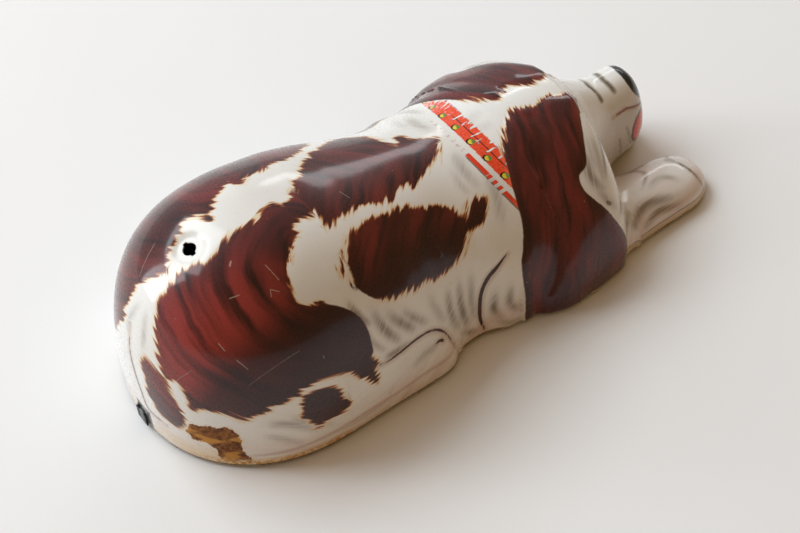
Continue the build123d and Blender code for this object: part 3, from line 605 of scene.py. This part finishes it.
def lug_meshes():
    """The four tongues of the shell, folded in under the base plate: points and faces."""
    low, points, faces = RIM_Z - 2 * SHEET - 0.05, [], []
    for x in LUG_XS:
        for side in (1, -1):
            y = rim_y(x) - 0.02
            inner, top = y - SHEET + 0.04, RIM_Z + 0.3
            ring = [(inner, top), (y, top), (y, low + 0.15), (y - 0.15, low), (y - LUG_FOLD, low),
                    (y - LUG_FOLD, low + SHEET - 0.05), (inner - 0.1, low + SHEET - 0.05),
                    (inner, low + SHEET + 0.05)]
            base = len(points)
            for along in (-LUG_LENGTH / 2, LUG_LENGTH / 2):
                points += [(x + along, side * b, c) for b, c in ring]
            n = len(ring)
            faces += [(base + i, base + (i + 1) % n, base + n + (i + 1) % n, base + n + i) for i in range(n)]
            faces += [(base, base + 1, base + 2, base + 7), (base + 2, base + 3, base + 6, base + 7),
                      (base + 3, base + 4, base + 5, base + 6)]
            faces += [tuple(k + n for k in face) for face in faces[-3:]]
    return np.array(points), faces


def build_shell():
    thing = tin_form()
    p = read_points(thing.data)
    _, normal = gap_and_normal(p)
    form = Print(p, normal)
    brown = form.patches(COAT_PATCHES)
    ears = form.patches(EAR_PATCHES)
    layers = {
        "plan": form.plan, "place": p, "fur": form.fur(), "brown": np.minimum(brown, ears), "ears": ears,
        "ink": form.lines(INK_LINES), "shade": form.strokes(STROKES),
        "bare": form.patches(BARE_PATCHES),
    }
    write_points(thing.data, p + relief(p, form)[:, None] * normal)
    for name, values in layers.items():
        write_attribute(thing.data, name, values)
    for polygon in thing.data.polygons:
        polygon.use_smooth = True
    wall = thing.modifiers.new("wall", "SOLIDIFY")
    wall.thickness = SHEET * MM
    wall.offset = -1
    apply_modifiers(thing)
    points, faces = lug_meshes()
    lugs = mesh_object("lugs", points, faces)
    for name, values in layers.items():
        far = np.full((len(points),) + values.shape[1:], 9.0)
        write_attribute(lugs.data, name, points if name == "place" else far * (name != "shade"))
    joined = bmesh.new()
    joined.from_mesh(thing.data)
    joined.from_mesh(lugs.data)
    bmesh.ops.recalc_face_normals(joined, faces=joined.faces[-len(faces):])
    joined.to_mesh(thing.data)
    joined.free()
    bpy.data.objects.remove(lugs)
    return thing


# ---- node graphs ---------------------------------------------------------------------------------
class Graph:
    """A material's nodes. Each call adds a node and returns its output, ready to feed another."""

    def __init__(self, name):
        self.material = bpy.data.materials.new(name)
        self.material.use_nodes = True
        self.tree = self.material.node_tree
        self.tree.nodes.clear()

    def node(self, kind, out=0, settings=None, **inputs):
        made = self.tree.nodes.new(kind)
        for key, value in (settings or {}).items():
            setattr(made, key, value)
        for key, value in inputs.items():
            self.feed(made.inputs[int(key[1:]) if key[1:].isdigit() else key.replace("_", " ")], value)
        return made.outputs[out]

    def feed(self, socket, value):
        if isinstance(value, bpy.types.NodeSocket):
            self.tree.links.new(value, socket)
        elif hasattr(socket.default_value, "__len__") and len(socket.default_value) == 4 and len(value) == 3:
            socket.default_value = (*value, 1.0)
        else:
            socket.default_value = value

    def math(self, operation, a, b=0.0, c=0.0, clamp=False):
        settings = dict(operation=operation, use_clamp=clamp)
        return self.node("ShaderNodeMath", settings=settings, i0=a, i1=b, i2=c)

    def add(self, total, *others):
        for other in others:
            total = self.math("ADD", total, other)
        return total

    def times(self, product, *others):
        for other in others:
            product = self.math("MULTIPLY", product, other)
        return product

    def less(self, a, b):
        return self.math("SUBTRACT", a, b)

    def rest(self, share):
        """What a share leaves of 1."""
        return self.less(1.0, share)

    def most(self, a, b):
        return self.math("MAXIMUM", a, b)

    def size(self, value):
        return self.math("ABSOLUTE", value)

    def shift(self, noise, amount):
        """A noise turned into a displacement about zero."""
        return self.times(self.less(noise, 0.5), amount)

    def ramp(self, value, low, high, to_low=0.0, to_high=1.0):
        """A smooth step from low to high."""
        return self.node("ShaderNodeMapRange", settings=dict(interpolation_type="SMOOTHSTEP"),
                         i0=value, i1=low, i2=high, i3=to_low, i4=to_high)

    def within(self, value, low, high, soft):
        """1 between low and high, with soft ends."""
        above = self.ramp(value, low - soft, low + soft)
        return self.times(above, self.ramp(value, high + soft, high - soft))

    def mix(self, share, a, b):
        made = self.tree.nodes.new("ShaderNodeMix")
        made.data_type = "RGBA"
        for place, value in ((0, share), (6, a), (7, b)):
            self.feed(made.inputs[place], value)
        return made.outputs[2]

    def vector(self, operation, a, b=(0, 0, 0), out=0):
        return self.node("ShaderNodeVectorMath", out, dict(operation=operation), i0=a, i1=b)

    def length(self, vector):
        return self.vector("LENGTH", vector, out=1)

    def scaled(self, vector, factors, shift=(0, 0, 0)):
        return self.vector("ADD", self.vector("MULTIPLY", vector, factors), shift)

    def noise(self, vector, scale=1.0, detail=2.0, rough=0.5, out=0):
        return self.node("ShaderNodeTexNoise", out, i2=scale, Vector=vector, Detail=detail, Roughness=rough)

    def layer(self, name, vector=False):
        return self.node("ShaderNodeAttribute", 1 if vector else 2, dict(attribute_name=name))

    def parts(self, vector):
        made = self.tree.nodes.new("ShaderNodeSeparateXYZ")
        self.feed(made.inputs[0], vector)
        return made.outputs

    def joined(self, x, y, z=0.0):
        return self.node("ShaderNodeCombineXYZ", i0=x, i1=y, i2=z)

    def stroke(self, place, start, end):
        """Distance from a straight stroke between two points."""
        start, end = (tuple(point) + (0,) * (3 - len(point)) for point in (start, end))
        run = tuple(b - a for a, b in zip(start, end))
        rel = self.vector("SUBTRACT", place, start)
        dot = self.vector("DOT_PRODUCT", rel, run, out=1)
        along = self.math("MULTIPLY", dot, 1 / sum(r * r for r in run), clamp=True)
        reach = self.node("ShaderNodeVectorMath", 0, dict(operation="SCALE"), i0=run, Scale=along)
        return self.length(self.vector("SUBTRACT", rel, reach))

    def bump(self, height, strength, distance):
        return self.node("ShaderNodeBump", Height=height, Strength=strength, Distance=distance)

    def surface(self, **inputs):
        shader = self.tree.nodes.new("ShaderNodeBsdfPrincipled")
        for key, value in inputs.items():
            self.feed(shader.inputs[key.replace("_", " ")], value)
        end = self.tree.nodes.new("ShaderNodeOutputMaterial")
        self.tree.links.new(shader.outputs[0], end.inputs[0])
        return self.material


# ---- the print: colours, linear ------------------------------------------------------------------
WHITE, WHITE_DULL = (0.80, 0.79, 0.76), (0.77, 0.75, 0.70)
CREAM, PINK, STREAK = (0.74, 0.60, 0.40), (0.62, 0.40, 0.33), (0.42, 0.24, 0.18)
TAUPE, TAUPE_OLIVE, TAUPE_DARK = (0.30, 0.25, 0.21), (0.19, 0.16, 0.11), (0.09, 0.07, 0.055)
# The last of these is painted shade for under the jaw, with some of the print's taupe in it.
OLIVE, TAN, RIM_TAN, JAW_SHADE_AND_TAUPE = (0.20, 0.16, 0.09), (0.42, 0.27, 0.14), (0.58, 0.43, 0.25), (0.40, 0.31, 0.25)
BROWN_DARK, BROWN, BROWN_RED = (0.028, 0.009, 0.008), (0.122, 0.0195, 0.016), (0.29, 0.038, 0.031)
FRINGE, INK, CREASE = (0.36, 0.115, 0.035), (0.018, 0.009, 0.009), (0.05, 0.014, 0.009)
COLLAR_RED, COLLAR_LIGHT = (0.78, 0.055, 0.018), (0.86, 0.10, 0.035)
STUD_YELLOW, STUD_GREEN = (0.78, 0.62, 0.05), (0.10, 0.26, 0.05)
NOSE, LIP = (0.018, 0.024, 0.022), (0.20, 0.03, 0.015)
TONGUE, TONGUE_EDGE, TONGUE_MIDDLE = (0.66, 0.045, 0.018), (0.10, 0.035, 0.02), (0.75, 0.20, 0.07)
RUST, RUST_LIGHT, RUST_ORANGE = (0.11, 0.038, 0.016), (0.30, 0.125, 0.04), (0.52, 0.25, 0.06)
# The second of these is painted contact shadow for the rim's bottom edge.
SCRATCHED, RIM_SHADOW, LUG_TIN = (0.48, 0.37, 0.29), (0.07, 0.04, 0.025), (0.30, 0.25, 0.18)
# The rear tab's dark metal, and two greys for the painted highlight stripe along it.
TAB_DARK, TAB_HIGHLIGHT, BASE_TAB_HIGHLIGHT = (0.012, 0.012, 0.013), (0.20, 0.20, 0.20), (0.16, 0.16, 0.16)

COLLAR_U, COLLAR_BOW = 97.5, 0.0085         # where the collar crosses the spine, and how it bows back
STUD_STEP, STUD_START = 5.7, 0.1667
REAR_TAB_Y = (-4.6, 1.4)                    # the dark tab at the rear rim

# Scratches through the print: plan points and half-width
SCRATCHES = [
    ((33.5, -10), (34, -13), 0.12), ((20, -15), (20, -16.5), 0.2), ((20.5, -19), (21, -21.5), 0.2),
    ((19, -24), (31, -24.5), 0.07), ((8, -13), (12.5, -14.5), 0.08), ((17, 4), (22.5, 5.5), 0.1),
    ((58.5, -3.5), (59.5, -5.5), 0.16), ((32, -13.5), (33, -14.5), 0.14), ((32, -13.5), (31.5, -14.5), 0.14),
    ((29.5, -6.5), (29, -7), 0.28), ((26, -11), (27.5, -11.5), 0.16), ((35, -28), (35, -28.5), 0.16)]


class Litho(Graph):
    """The printed tin's nodes, with the places and noises that its layers share."""

    def __init__(self):
        super().__init__("litho_tin")
        self.plan, self.place, self.fur = (self.layer(name, True) for name in ("plan", "place", "fur"))
        self.u, self.v, _ = self.parts(self.plan)
        self.x, self.y, self.z = self.parts(self.place)
        self.away = self.size(self.v)
        self.side = self.joined(self.x, self.size(self.y), self.z)
        wander = self.vector("SUBTRACT", self.noise(self.place, 0.11, 1.5, out=1), (0.5, 0.5, 0.5))
        lie = self.vector("ADD", self.fur, self.vector("MULTIPLY", wander, (3.5, 2.6, 0)))
        self.tufts = self.noise(self.scaled(self.fur, (0.16, 1.15, 7.0)), detail=2.5, rough=0.55)
        self.clumps = self.noise(self.scaled(self.fur, (0.05, 0.28, 3.0)), detail=1.0)
        self.bands = self.noise(self.scaled(lie, (0.04, 0.17, 5.0)))
        self.streaks = self.noise(self.scaled(lie, (0.06, 0.42, 9.0), (3.1, 0, 0)), detail=2.5)
        self.broad = self.noise(self.place, 0.07, 1.5)
        self.fine = self.noise(self.place, 1.6, 3.0, 0.6)
        self.rusting = self.noise(self.place, 0.8, 5.0, 0.7)

    def blob(self, centre, radii):
        """Below 1 inside an ellipsoid."""
        off = self.vector("SUBTRACT", self.side, centre)
        return self.length(self.scaled(off, tuple(1 / r for r in radii)))

    def marks(self, under, colour, strength, width, at, strokes):
        """Short straight brush marks."""
        for start, end in strokes:
            gap = self.add(self.stroke(at, start, end), self.shift(self.fine, 0.3))
            under = self.mix(self.times(self.ramp(gap, width, width * 0.3), strength), under, colour)
        return under


def white_coat(g):
    """White with grey brush strokes, painted tan shade under the jaw, tan along the rim, and dirt."""
    coat = g.mix(g.ramp(g.broad, 0.35, 0.7), WHITE, WHITE_DULL)
    bristle = g.ramp(g.noise(g.scaled(g.fur, (0.05, 1.6, 5.0)), detail=3.0, rough=0.65), 0.25, 0.62)
    brushed = g.math("MULTIPLY", g.layer("shade"), g.add(0.6, g.times(bristle, 0.9)), clamp=True)
    coat = g.mix(brushed, coat, g.mix(g.ramp(g.z, 22.0, 8.0), TAUPE, TAUPE_OLIVE))
    coat = g.mix(g.times(g.ramp(g.z, 14.0, 3.0), g.ramp(g.clumps, 0.35, 0.65, 0.15, 0.55)), coat, PINK)
    # Painted shade: the jaw and the muzzle's lower sides darkened towards tan, partly the print's taupe.
    jaw_shade = g.times(g.ramp(g.x, 129.0, 137.0), g.ramp(g.z, 27.0, 19.0), g.ramp(g.size(g.y), 14.0, 11.5))
    coat = g.mix(g.times(jaw_shade, 0.6), coat, JAW_SHADE_AND_TAUPE)
    rim = g.add(g.z, g.shift(g.fine, 0.5))
    paws = g.ramp(g.x, 100.0, 112.0)
    coat = g.mix(g.times(g.ramp(rim, 3.6, 3.0), g.add(g.times(paws, 0.75), 0.15)), coat, RIM_TAN)
    coat = g.mix(g.times(g.within(rim, 3.4, 3.9, 0.2), g.times(paws, 0.6)), coat, TAUPE_DARK)
    flank = g.within(g.u, 4.0, 70.0, 6.0)
    cord = g.add(g.less(g.z, g.times(g.u, 0.02)), g.shift(g.clumps, 1.6))
    coat = g.mix(g.times(g.within(cord, 4.6, 5.6, 0.6), flank, 0.5), coat, STREAK)
    behind = g.times(g.ramp(g.u, 2.0, -4.0), g.ramp(g.z, 9.0, 4.0))
    coat = g.mix(g.times(behind, g.ramp(g.clumps, 0.3, 0.6, 0.3, 0.8)), coat, CREAM)
    dirt = g.times(g.ramp(g.noise(g.place, 0.9, 4.0, 0.75), 0.66, 0.72), g.ramp(g.broad, 0.5, 0.56))
    coat = g.mix(g.times(dirt, 0.5), coat, TAN)
    smudge = g.ramp(g.noise(g.scaled(g.fur, (0.04, 0.3, 2.0), (9, 0, 0)), detail=3.0), 0.5, 0.68)
    return g.mix(g.times(smudge, g.times(g.ramp(g.z, 12.0, 4.0), flank), 0.6), coat, OLIVE)


def collar(g, coat):
    """A ragged red band with a seam and studs, and a thin broken strip behind it."""
    s = g.less(g.u, g.add(COLLAR_U, g.times(g.v, g.v, COLLAR_BOW)))
    spike = g.noise(g.joined(g.times(g.u, 0.2), g.times(g.v, 0.95)), detail=3.5, rough=0.6)
    ahead = g.less(s, g.add(g.times(g.ramp(spike, 0.5, 0.64), -3.2), 3.9))
    rear = g.add(s, g.shift(g.fine, 0.9))
    worn = g.ramp(g.noise(g.scaled(g.plan, (0.9, 0.9, 1)), detail=3.0, rough=0.7), 0.48, 0.58)
    faded = g.times(g.ramp(g.v, 9.0, 16.0), worn)
    reach = g.times(g.ramp(g.away, 24.0, 22.0), g.rest(g.times(faded, 0.9)))
    band = g.times(g.ramp(rear, -1.4, -1.15), g.ramp(ahead, 0.12, -0.12), reach)
    coat = g.mix(band, coat, g.mix(g.ramp(g.fine, 0.3, 0.7), COLLAR_RED, COLLAR_LIGHT))
    thin = g.times(g.math("COMPARE", g.add(ahead, -0.1), 0.0, 0.17), g.ramp(spike, 0.4, 0.56), reach)
    coat = g.mix(g.times(thin, 0.8), coat, INK)
    seam = g.within(g.add(s, g.shift(g.fine, 0.3)), 1.6, 1.92, 0.08)
    coat = g.mix(g.times(seam, g.within(g.v, -14.0, 6.0, 1.0), band, 0.9), coat, INK)
    strip = g.add(s, g.shift(g.fine, 0.35))
    dashed = g.ramp(g.math("SINE", g.times(g.v, 3.6)), -0.25, 0.15)
    solid = g.most(dashed, g.most(g.within(g.v, -13.0, -6.5, 0.3), g.ramp(g.v, -18.8, -19.3)))
    second = g.times(g.within(g.v, -24.0, -5.6, 0.6), solid, g.within(strip, -4.1, -2.8, 0.1))
    coat = g.mix(second, coat, COLLAR_RED)
    under = g.times(g.within(g.v, -24.0, -6.6, 0.6), solid, g.within(strip, -4.45, -4.1, 0.08))
    coat = g.mix(g.times(under, 0.85), coat, INK)
    faint = g.times(g.within(g.v, -6.0, 9.0, 1.0), dashed, g.times(g.within(strip, -4.0, -2.9, 0.2), worn))
    coat = g.mix(g.times(faint, 0.5), coat, FRINGE)
    local = g.times(g.less(g.math("FRACT", g.add(g.times(g.v, 1 / STUD_STEP), STUD_START)), 0.5), STUD_STEP)
    crescent = g.length(g.joined(g.times(g.add(s, 0.3), 1 / 1.15), g.add(local, -0.15)))
    coat = g.mix(g.times(g.ramp(crescent, 1.05, 0.9), band), coat, INK)
    stud = g.length(g.joined(g.times(s, 1 / 0.95), g.times(local, 1 / 0.8)))
    enamel = g.mix(g.ramp(g.add(s, g.times(local, -0.5)), -0.25, 0.35), STUD_YELLOW, STUD_GREEN)
    return g.mix(g.times(g.ramp(stud, 1.05, 0.85), reach), coat, enamel)


def face(g, coat):
    """Brow, mouth, cheek dot, tongue and nose."""
    brow = [((139.3, 0.0, 28.4), (139.8, 4.6, 27.0)), ((144.5, 0.0, 27.8), (145.0, 4.0, 26.6))]
    coat = g.marks(coat, OLIVE, 0.8, 1.3, g.side, brow)
    coat = g.marks(coat, TAUPE_DARK, 0.7, 0.55, g.side, brow)
    coat = g.marks(coat, TAUPE_DARK, 0.7, 0.7, g.side, [((139.0, 0.2, 28.6), (139.4, 2.0, 28.2))])
    beyond = g.most(g.less(g.size(g.y), 12.0), 0.0)
    cheek = g.joined(g.x, g.times(beyond, 5.0), g.z)
    mouth = [((141.6, 0, 21.6), (146.0, 0, 21.4)), ((146.0, 0, 21.4), (152.0, 0, 19.2))]
    coat = g.marks(coat, TAN, 0.6, 1.0, cheek, mouth)
    lips = [((143.2, 0, 21.5), (147.0, 0, 21.2)), ((147.0, 0, 21.2), (153.0, 0, 19.0))]
    coat = g.marks(coat, LIP, 0.9, 0.42, cheek, lips)
    jowl = [((146.0, 0, 16.0), (148.0, 0, 9.0)), ((143.0, 0, 14.0), (144.0, 0, 8.0))]
    coat = g.marks(coat, OLIVE, 0.45, 0.8, cheek, jowl)
    dot = g.add(g.stroke(g.joined(g.u, g.away), (120.5, 33.1), (121.0, 33.7)), g.shift(g.fine, 0.3))
    coat = g.mix(g.times(g.ramp(dot, 0.75, 0.25), 0.7), coat, CREASE)
    tongue = g.add(g.blob((152.4, 0, 12.2), (6.0, 14.0, 6.4)), g.shift(g.fine, 0.06))
    coat = g.mix(g.ramp(tongue, 1.03, 0.97), coat, TONGUE_EDGE)
    coat = g.mix(g.ramp(tongue, 0.93, 0.85), coat, TONGUE)
    coat = g.mix(g.times(g.ramp(tongue, 0.8, 0.6), 0.5), coat, TONGUE_MIDDLE)
    nose = g.add(g.blob((154.3, 0, 24.6), (5.4, 7.6, 6.2)), g.shift(g.fine, 0.08))
    return g.mix(g.ramp(nose, 1.04, 0.94), coat, NOSE)


def brown_patches(g, coat):
    """Patches with feathered edges. An ear's own edges are smooth below its crown."""
    ears = g.layer("ears")
    calm = g.rest(g.times(g.ramp(ears, 3.0, 1.5), g.ramp(g.away, 8.0, 12.0, 0.0, 0.92)))
    haunch_front = g.times(g.within(g.u, 38.0, 53.0, 3.0), g.within(g.v, -34.0, -19.0, 1.5))
    calm = g.most(g.times(calm, g.rest(haunch_front)), 0.06)
    edge = g.add(g.layer("brown"), g.times(g.add(g.shift(g.tufts, 5.2), g.shift(g.clumps, 3.2)), calm))
    brown = g.mix(g.ramp(g.streaks, 0.27, 0.58), BROWN_DARK, BROWN)
    brown = g.mix(g.ramp(g.bands, 0.40, 0.56), g.mix(0.6, brown, BROWN_DARK), brown)
    warm = g.ramp(g.length(g.scaled(g.plan, (1 / 18, 1 / 14, 0), (-1, 16 / 14, 0))), 1.3, 0.4)
    red = g.most(g.times(g.ramp(g.bands, 0.52, 0.75), 0.35), g.times(warm, g.ramp(g.bands, 0.3, 0.5)))
    brown = g.mix(g.times(red, g.ramp(g.streaks, 0.30, 0.6)), brown, BROWN_RED)
    shadow = g.times(g.ramp(ears, -2.6, -0.3), g.ramp(g.away, 14.0, 22.0))
    brown = g.mix(g.times(shadow, g.ramp(g.u, 112.0, 106.0, 0.25, 0.85)), brown, BROWN_DARK)
    halo = g.mix(g.most(g.ramp(edge, 0.15, 1.1), g.rest(calm)), CREAM, coat)
    fringe = g.mix(g.ramp(edge, -0.1, 0.3), g.mix(calm, BROWN_DARK, FRINGE), halo)
    return g.mix(g.ramp(edge, -0.55, -0.05), brown, fringe)


def ink_lines(g, under):
    lines = g.add(g.layer("ink"), g.shift(g.fine, 0.25))
    under = g.mix(g.times(g.ramp(lines, 1.3, 0.1), 0.3), under, FRINGE)
    return g.mix(g.ramp(lines, 0.12, -0.06), under, CREASE)


def scratches(g):
    """Where scratches and specks have gone through the print, from 0 to 1."""
    nearest_one = None
    for start, end, half in SCRATCHES:
        gap = g.less(g.stroke(g.plan, start, end), half * 0.45)
        nearest_one = gap if nearest_one is None else g.math("MINIMUM", nearest_one, gap)
    grit = g.shift(g.noise(g.place, 3.2, 3.0, 0.7), 0.22)
    speck = g.add(g.node("ShaderNodeTexVoronoi", Vector=g.place, Scale=0.22), -0.028)
    rare = g.ramp(g.noise(g.place, 0.19, 1.0), 0.52, 0.55)
    return g.most(g.ramp(g.add(nearest_one, grit), 0.04, -0.04), g.times(g.ramp(speck, 0.008, -0.004), rare))


def rusted(g, under):
    """Rust where the print has flaked off, and along the rim beside it: colour, flaked share, rim share."""
    ragged = g.add(g.layer("bare"), g.shift(g.noise(g.place, 0.55, 4.0, 0.65), 3.4))
    flow = g.noise(g.scaled(g.place, (0.16, 0.16, 0.3)))
    rust = g.mix(g.ramp(g.rusting, 0.36, 0.64), RUST, RUST_LIGHT)
    rust = g.mix(g.ramp(flow, 0.52, 0.62), rust, RUST_ORANGE)
    under = g.mix(g.ramp(ragged, 1.2, 0.2, 0.0, 0.4), under, CREAM)
    bare = g.ramp(ragged, 0.08, -0.08)
    under = g.mix(bare, under, rust)
    place = g.times(g.within(g.x, 5.0, 38.0, 4.0), g.ramp(g.y, -8.0, -14.0))
    creep = g.times(g.ramp(g.add(g.z, g.shift(g.rusting, 4.0)), 4.6, 2.6), place)
    return g.mix(creep, under, g.mix(g.ramp(g.rusting, 0.4, 0.6), CREAM, RUST_ORANGE)), bare, creep


def rim_and_lugs(g, under):
    """Painted contact shadow along the rim's bottom edge, the dark rear tab with a painted highlight stripe,
    and the lugs' plain tin.
    """
    # Painted contact shadow: the rim's bottom edge darkened, most towards the rear.
    rim_shadow = g.times(g.ramp(g.add(g.z, g.shift(g.fine, 0.8)), 1.9, 1.5), g.ramp(g.x, 90.0, 60.0, 0.3, 1.0))
    under = g.mix(rim_shadow, under, RIM_SHADOW)
    tab = g.times(g.ramp(g.x, 2.2, 1.6), g.within(g.y, *REAR_TAB_Y, 0.3), g.within(g.z, 1.0, 8.6, 0.4))
    under = g.mix(tab, under, TAB_DARK)
    # Painted highlight: a grey stripe down the middle of the dark tab.
    under = g.mix(g.times(tab, g.within(g.y, -3.0, -1.6, 0.5)), under, TAB_HIGHLIGHT)
    return g.mix(g.ramp(g.z, RIM_Z - 0.02, RIM_Z - 0.08), under, LUG_TIN)


def litho():
    """Printed tinplate: coat, collar, face, patches and lines, with its scratches and rust."""
    g = Litho()
    printed = ink_lines(g, brown_patches(g, face(g, collar(g, white_coat(g)))))
    hurt = scratches(g)
    colour, bare, creep = rusted(g, g.mix(g.times(hurt, 0.6), printed, SCRATCHED))
    lost = g.most(bare, creep)
    rough = g.add(g.ramp(g.fine, 0.3, 0.7, 0.24, 0.34), g.times(lost, 0.4))
    pitted = g.times(bare, g.add(g.times(g.rusting, 1.6), -1.6))
    depth = g.add(g.times(g.fine, 0.15), g.add(pitted, g.times(hurt, -0.5)))
    return g.surface(Base_Color=rim_and_lugs(g, colour), Roughness=rough, Normal=g.bump(depth, 0.5, 0.0001),
                     Specular_IOR_Level=0.12, Coat_Weight=g.less(0.75, g.times(lost, 0.75)),
                     Coat_Roughness=0.1, Coat_IOR=1.42)


GRAIN = (900.0, 10800.0, 900.0)           # brushing, per metre


def plain_metal(name, colour, dark, rough, metallic=1.0, stain=None):
    """Worn metal: brushed grain, stains and a mottled finish."""
    g = Graph(name)
    place = g.node("ShaderNodeTexCoord", 3)
    brushed = g.noise(g.scaled(place, GRAIN), detail=3.0, rough=0.6)
    blotch = g.noise(place, scale=160.0, detail=3.0, rough=0.6)
    tint = g.mix(g.ramp(blotch, 0.4, 0.7), colour, dark)
    tint = g.mix(g.times(g.ramp(brushed, 0.35, 0.75), 0.35), tint, dark)
    if stain:
        spot = g.ramp(g.noise(place, scale=420.0, detail=4.0, rough=0.7), 0.56, 0.68)
        tint = g.mix(spot, tint, stain)
    if name == "base_tin":
        along, across, _ = g.parts(place)
        # Painted highlight: a grey stripe along the dark rear tab.
        tab_highlight = g.times(g.ramp(across, -0.0016, -0.001), g.ramp(across, 0.0006, 0.0))
        tab = g.mix(tab_highlight, TAB_DARK, BASE_TAB_HIGHLIGHT)
        tint = g.mix(g.ramp(along, 0.0001, -0.00005), tint, tab)
    surface_rough = g.add(g.times(brushed, 0.15), g.ramp(blotch, 0.35, 0.7, rough - 0.07, rough + 0.12))
    return g.surface(Base_Color=tint, Roughness=surface_rough, Metallic=metallic,
                     Normal=g.bump(brushed, 0.25, 0.00004))


# ---- pieces --------------------------------------------------------------------------------------
shell = build_shell()
shell.data.materials.clear()
shell.data.materials.append(litho())
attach(shell, "root")
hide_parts("body_shell")

# Finish of each material slot: colour, darker colour, roughness, and where it differs metallic and stain
FINISHES = {
    "base_tin": ((0.42, 0.36, 0.26), (0.26, 0.20, 0.13), 0.42, 0.6, (0.20, 0.08, 0.03)),
    "plated_steel": ((0.55, 0.55, 0.53), (0.34, 0.33, 0.31), 0.36),
    "spring_steel": ((0.11, 0.13, 0.20), (0.05, 0.055, 0.08), 0.3),
    "bright_steel": ((0.62, 0.62, 0.62), (0.42, 0.41, 0.40), 0.25),
    "nickel_plate": ((0.66, 0.62, 0.54), (0.42, 0.36, 0.27), 0.22),
    "brass": ((0.62, 0.42, 0.16), (0.34, 0.20, 0.07), 0.32),
    "rubber": ((0.035, 0.033, 0.031), (0.02, 0.019, 0.018), 0.75, 0.0),
    "turned_wood": ((0.30, 0.06, 0.03), (0.16, 0.03, 0.015), 0.4, 0.0),
}
FINISHES = {slot: plain_metal(slot, *look) for slot, look in FINISHES.items()}
for part in frame["record"]["subparts"]:
    if part["node"] != "body_shell":
        node = frame["nodes"][part["node"]]
        node.data.materials.clear()
        node.data.materials.append(FINISHES[part["material_slot"]])


# ---- studio --------------------------------------------------------------------------------------
def floor():
    g = Graph("floor")
    place = g.node("ShaderNodeTexCoord", 3)
    paper = g.mix(g.noise(place, 30.0), (0.86, 0.86, 0.855), (0.84, 0.84, 0.835))
    g.surface(Base_Color=paper, Roughness=0.6, Specular_IOR_Level=0.2)
    thing = mesh_object("floor", [(-2500, -2500, 0), (2500, -2500, 0), (2500, 2500, 0), (-2500, 2500, 0)],
                        [(0, 1, 2, 3)])
    thing.data.materials.append(g.material)


def lamp(name, at, target, size, power, colour=(1, 1, 1)):
    light = bpy.data.lights.new(name, "AREA")
    light.shape = "RECTANGLE"
    light.size, light.size_y = size
    light.energy = power
    light.color = colour
    thing = bpy.data.objects.new(name, light)
    bpy.context.scene.collection.objects.link(thing)
    thing.location = at
    thing.rotation_euler = (Vector(target) - Vector(at)).to_track_quat("-Z", "Y").to_euler()


def camera():
    """The photograph's view: above the dog's right side, from behind its middle, tilted a little."""
    azimuth, elevation, roll = map(math.radians, (-33.444, 51.0, -3.419))
    target, distance = Vector((77.698, 0.823, 0.0)) * MM, 417.78 * MM
    back = Vector((math.sin(azimuth) * math.cos(elevation), -math.cos(azimuth) * math.cos(elevation),
                   math.sin(elevation)))
    right = Vector((math.cos(azimuth), math.sin(azimuth), 0))
    up = back.cross(right)
    side = right * math.cos(roll) + up * math.sin(roll)
    top = up * math.cos(roll) - right * math.sin(roll)
    data = bpy.data.cameras.new("camera")
    data.lens, data.sensor_width = 72.0, 36.0
    data.clip_start, data.clip_end = 0.01, 20.0
    thing = bpy.data.objects.new("camera", data)
    bpy.context.scene.collection.objects.link(thing)
    turn = Matrix((side, top, back)).transposed().to_4x4()
    thing.matrix_world = Matrix.Translation(target + back * distance) @ turn
    bpy.context.scene.camera = thing


ROOM, SKY = (0.30, 0.18, 0.075), (0.59, 0.63, 0.67)


def world():
    """Dim and warm towards the camera, bright beyond the toy."""
    made = bpy.data.worlds.new("studio")
    made.use_nodes = True
    tree = made.node_tree
    background = tree.nodes["Background"]
    where = tree.nodes.new("ShaderNodeTexCoord")
    along = tree.nodes.new("ShaderNodeVectorMath")
    along.operation = "DOT_PRODUCT"
    along.inputs[1].default_value = (-0.30, 0.94, 0.1)
    tree.links.new(where.outputs[0], along.inputs[0])
    share = tree.nodes.new("ShaderNodeMapRange")
    share.interpolation_type = "SMOOTHSTEP"
    for socket, value in zip(share.inputs[1:5], (-0.3, 0.9, 0.0, 1.0)):
        socket.default_value = value
    tree.links.new(along.outputs[1], share.inputs[0])
    blend = tree.nodes.new("ShaderNodeMix")
    blend.data_type = "RGBA"
    blend.inputs[6].default_value = (*ROOM, 1)
    blend.inputs[7].default_value = (*SKY, 1)
    tree.links.new(share.outputs[0], blend.inputs[0])
    tree.links.new(blend.outputs[2], background.inputs[0])
    background.inputs[1].default_value = 1.0
    bpy.context.scene.world = made


def from_angle(azimuth, elevation, distance, centre=(0.08, 0, 0)):
    """A place seen from the toy at an azimuth, in degrees from +X towards +Y, and an elevation."""
    a, e = math.radians(azimuth), math.radians(elevation)
    way = (math.cos(e) * math.cos(a), math.cos(e) * math.sin(a), math.sin(e))
    return tuple(c + distance * k for c, k in zip(centre, way))


floor()
lamp("window", from_angle(114, 49, 1.5), (0.06, 0, 0), (1.05, 0.8), 15.0, (0.855, 0.94, 1.0))
lamp("left_window", from_angle(143, 25, 1.0), (0.03, 0, 0.03), (0.22, 0.75), 3.4, (0.92, 0.95, 1.0))
lamp("right_window", from_angle(38, 27, 1.1), (0.08, 0, 0.03), (0.6, 0.11), 1.0, (0.95, 0.97, 1.0))
world()
camera()
bpy.context.scene.view_settings.view_transform = "Standard"
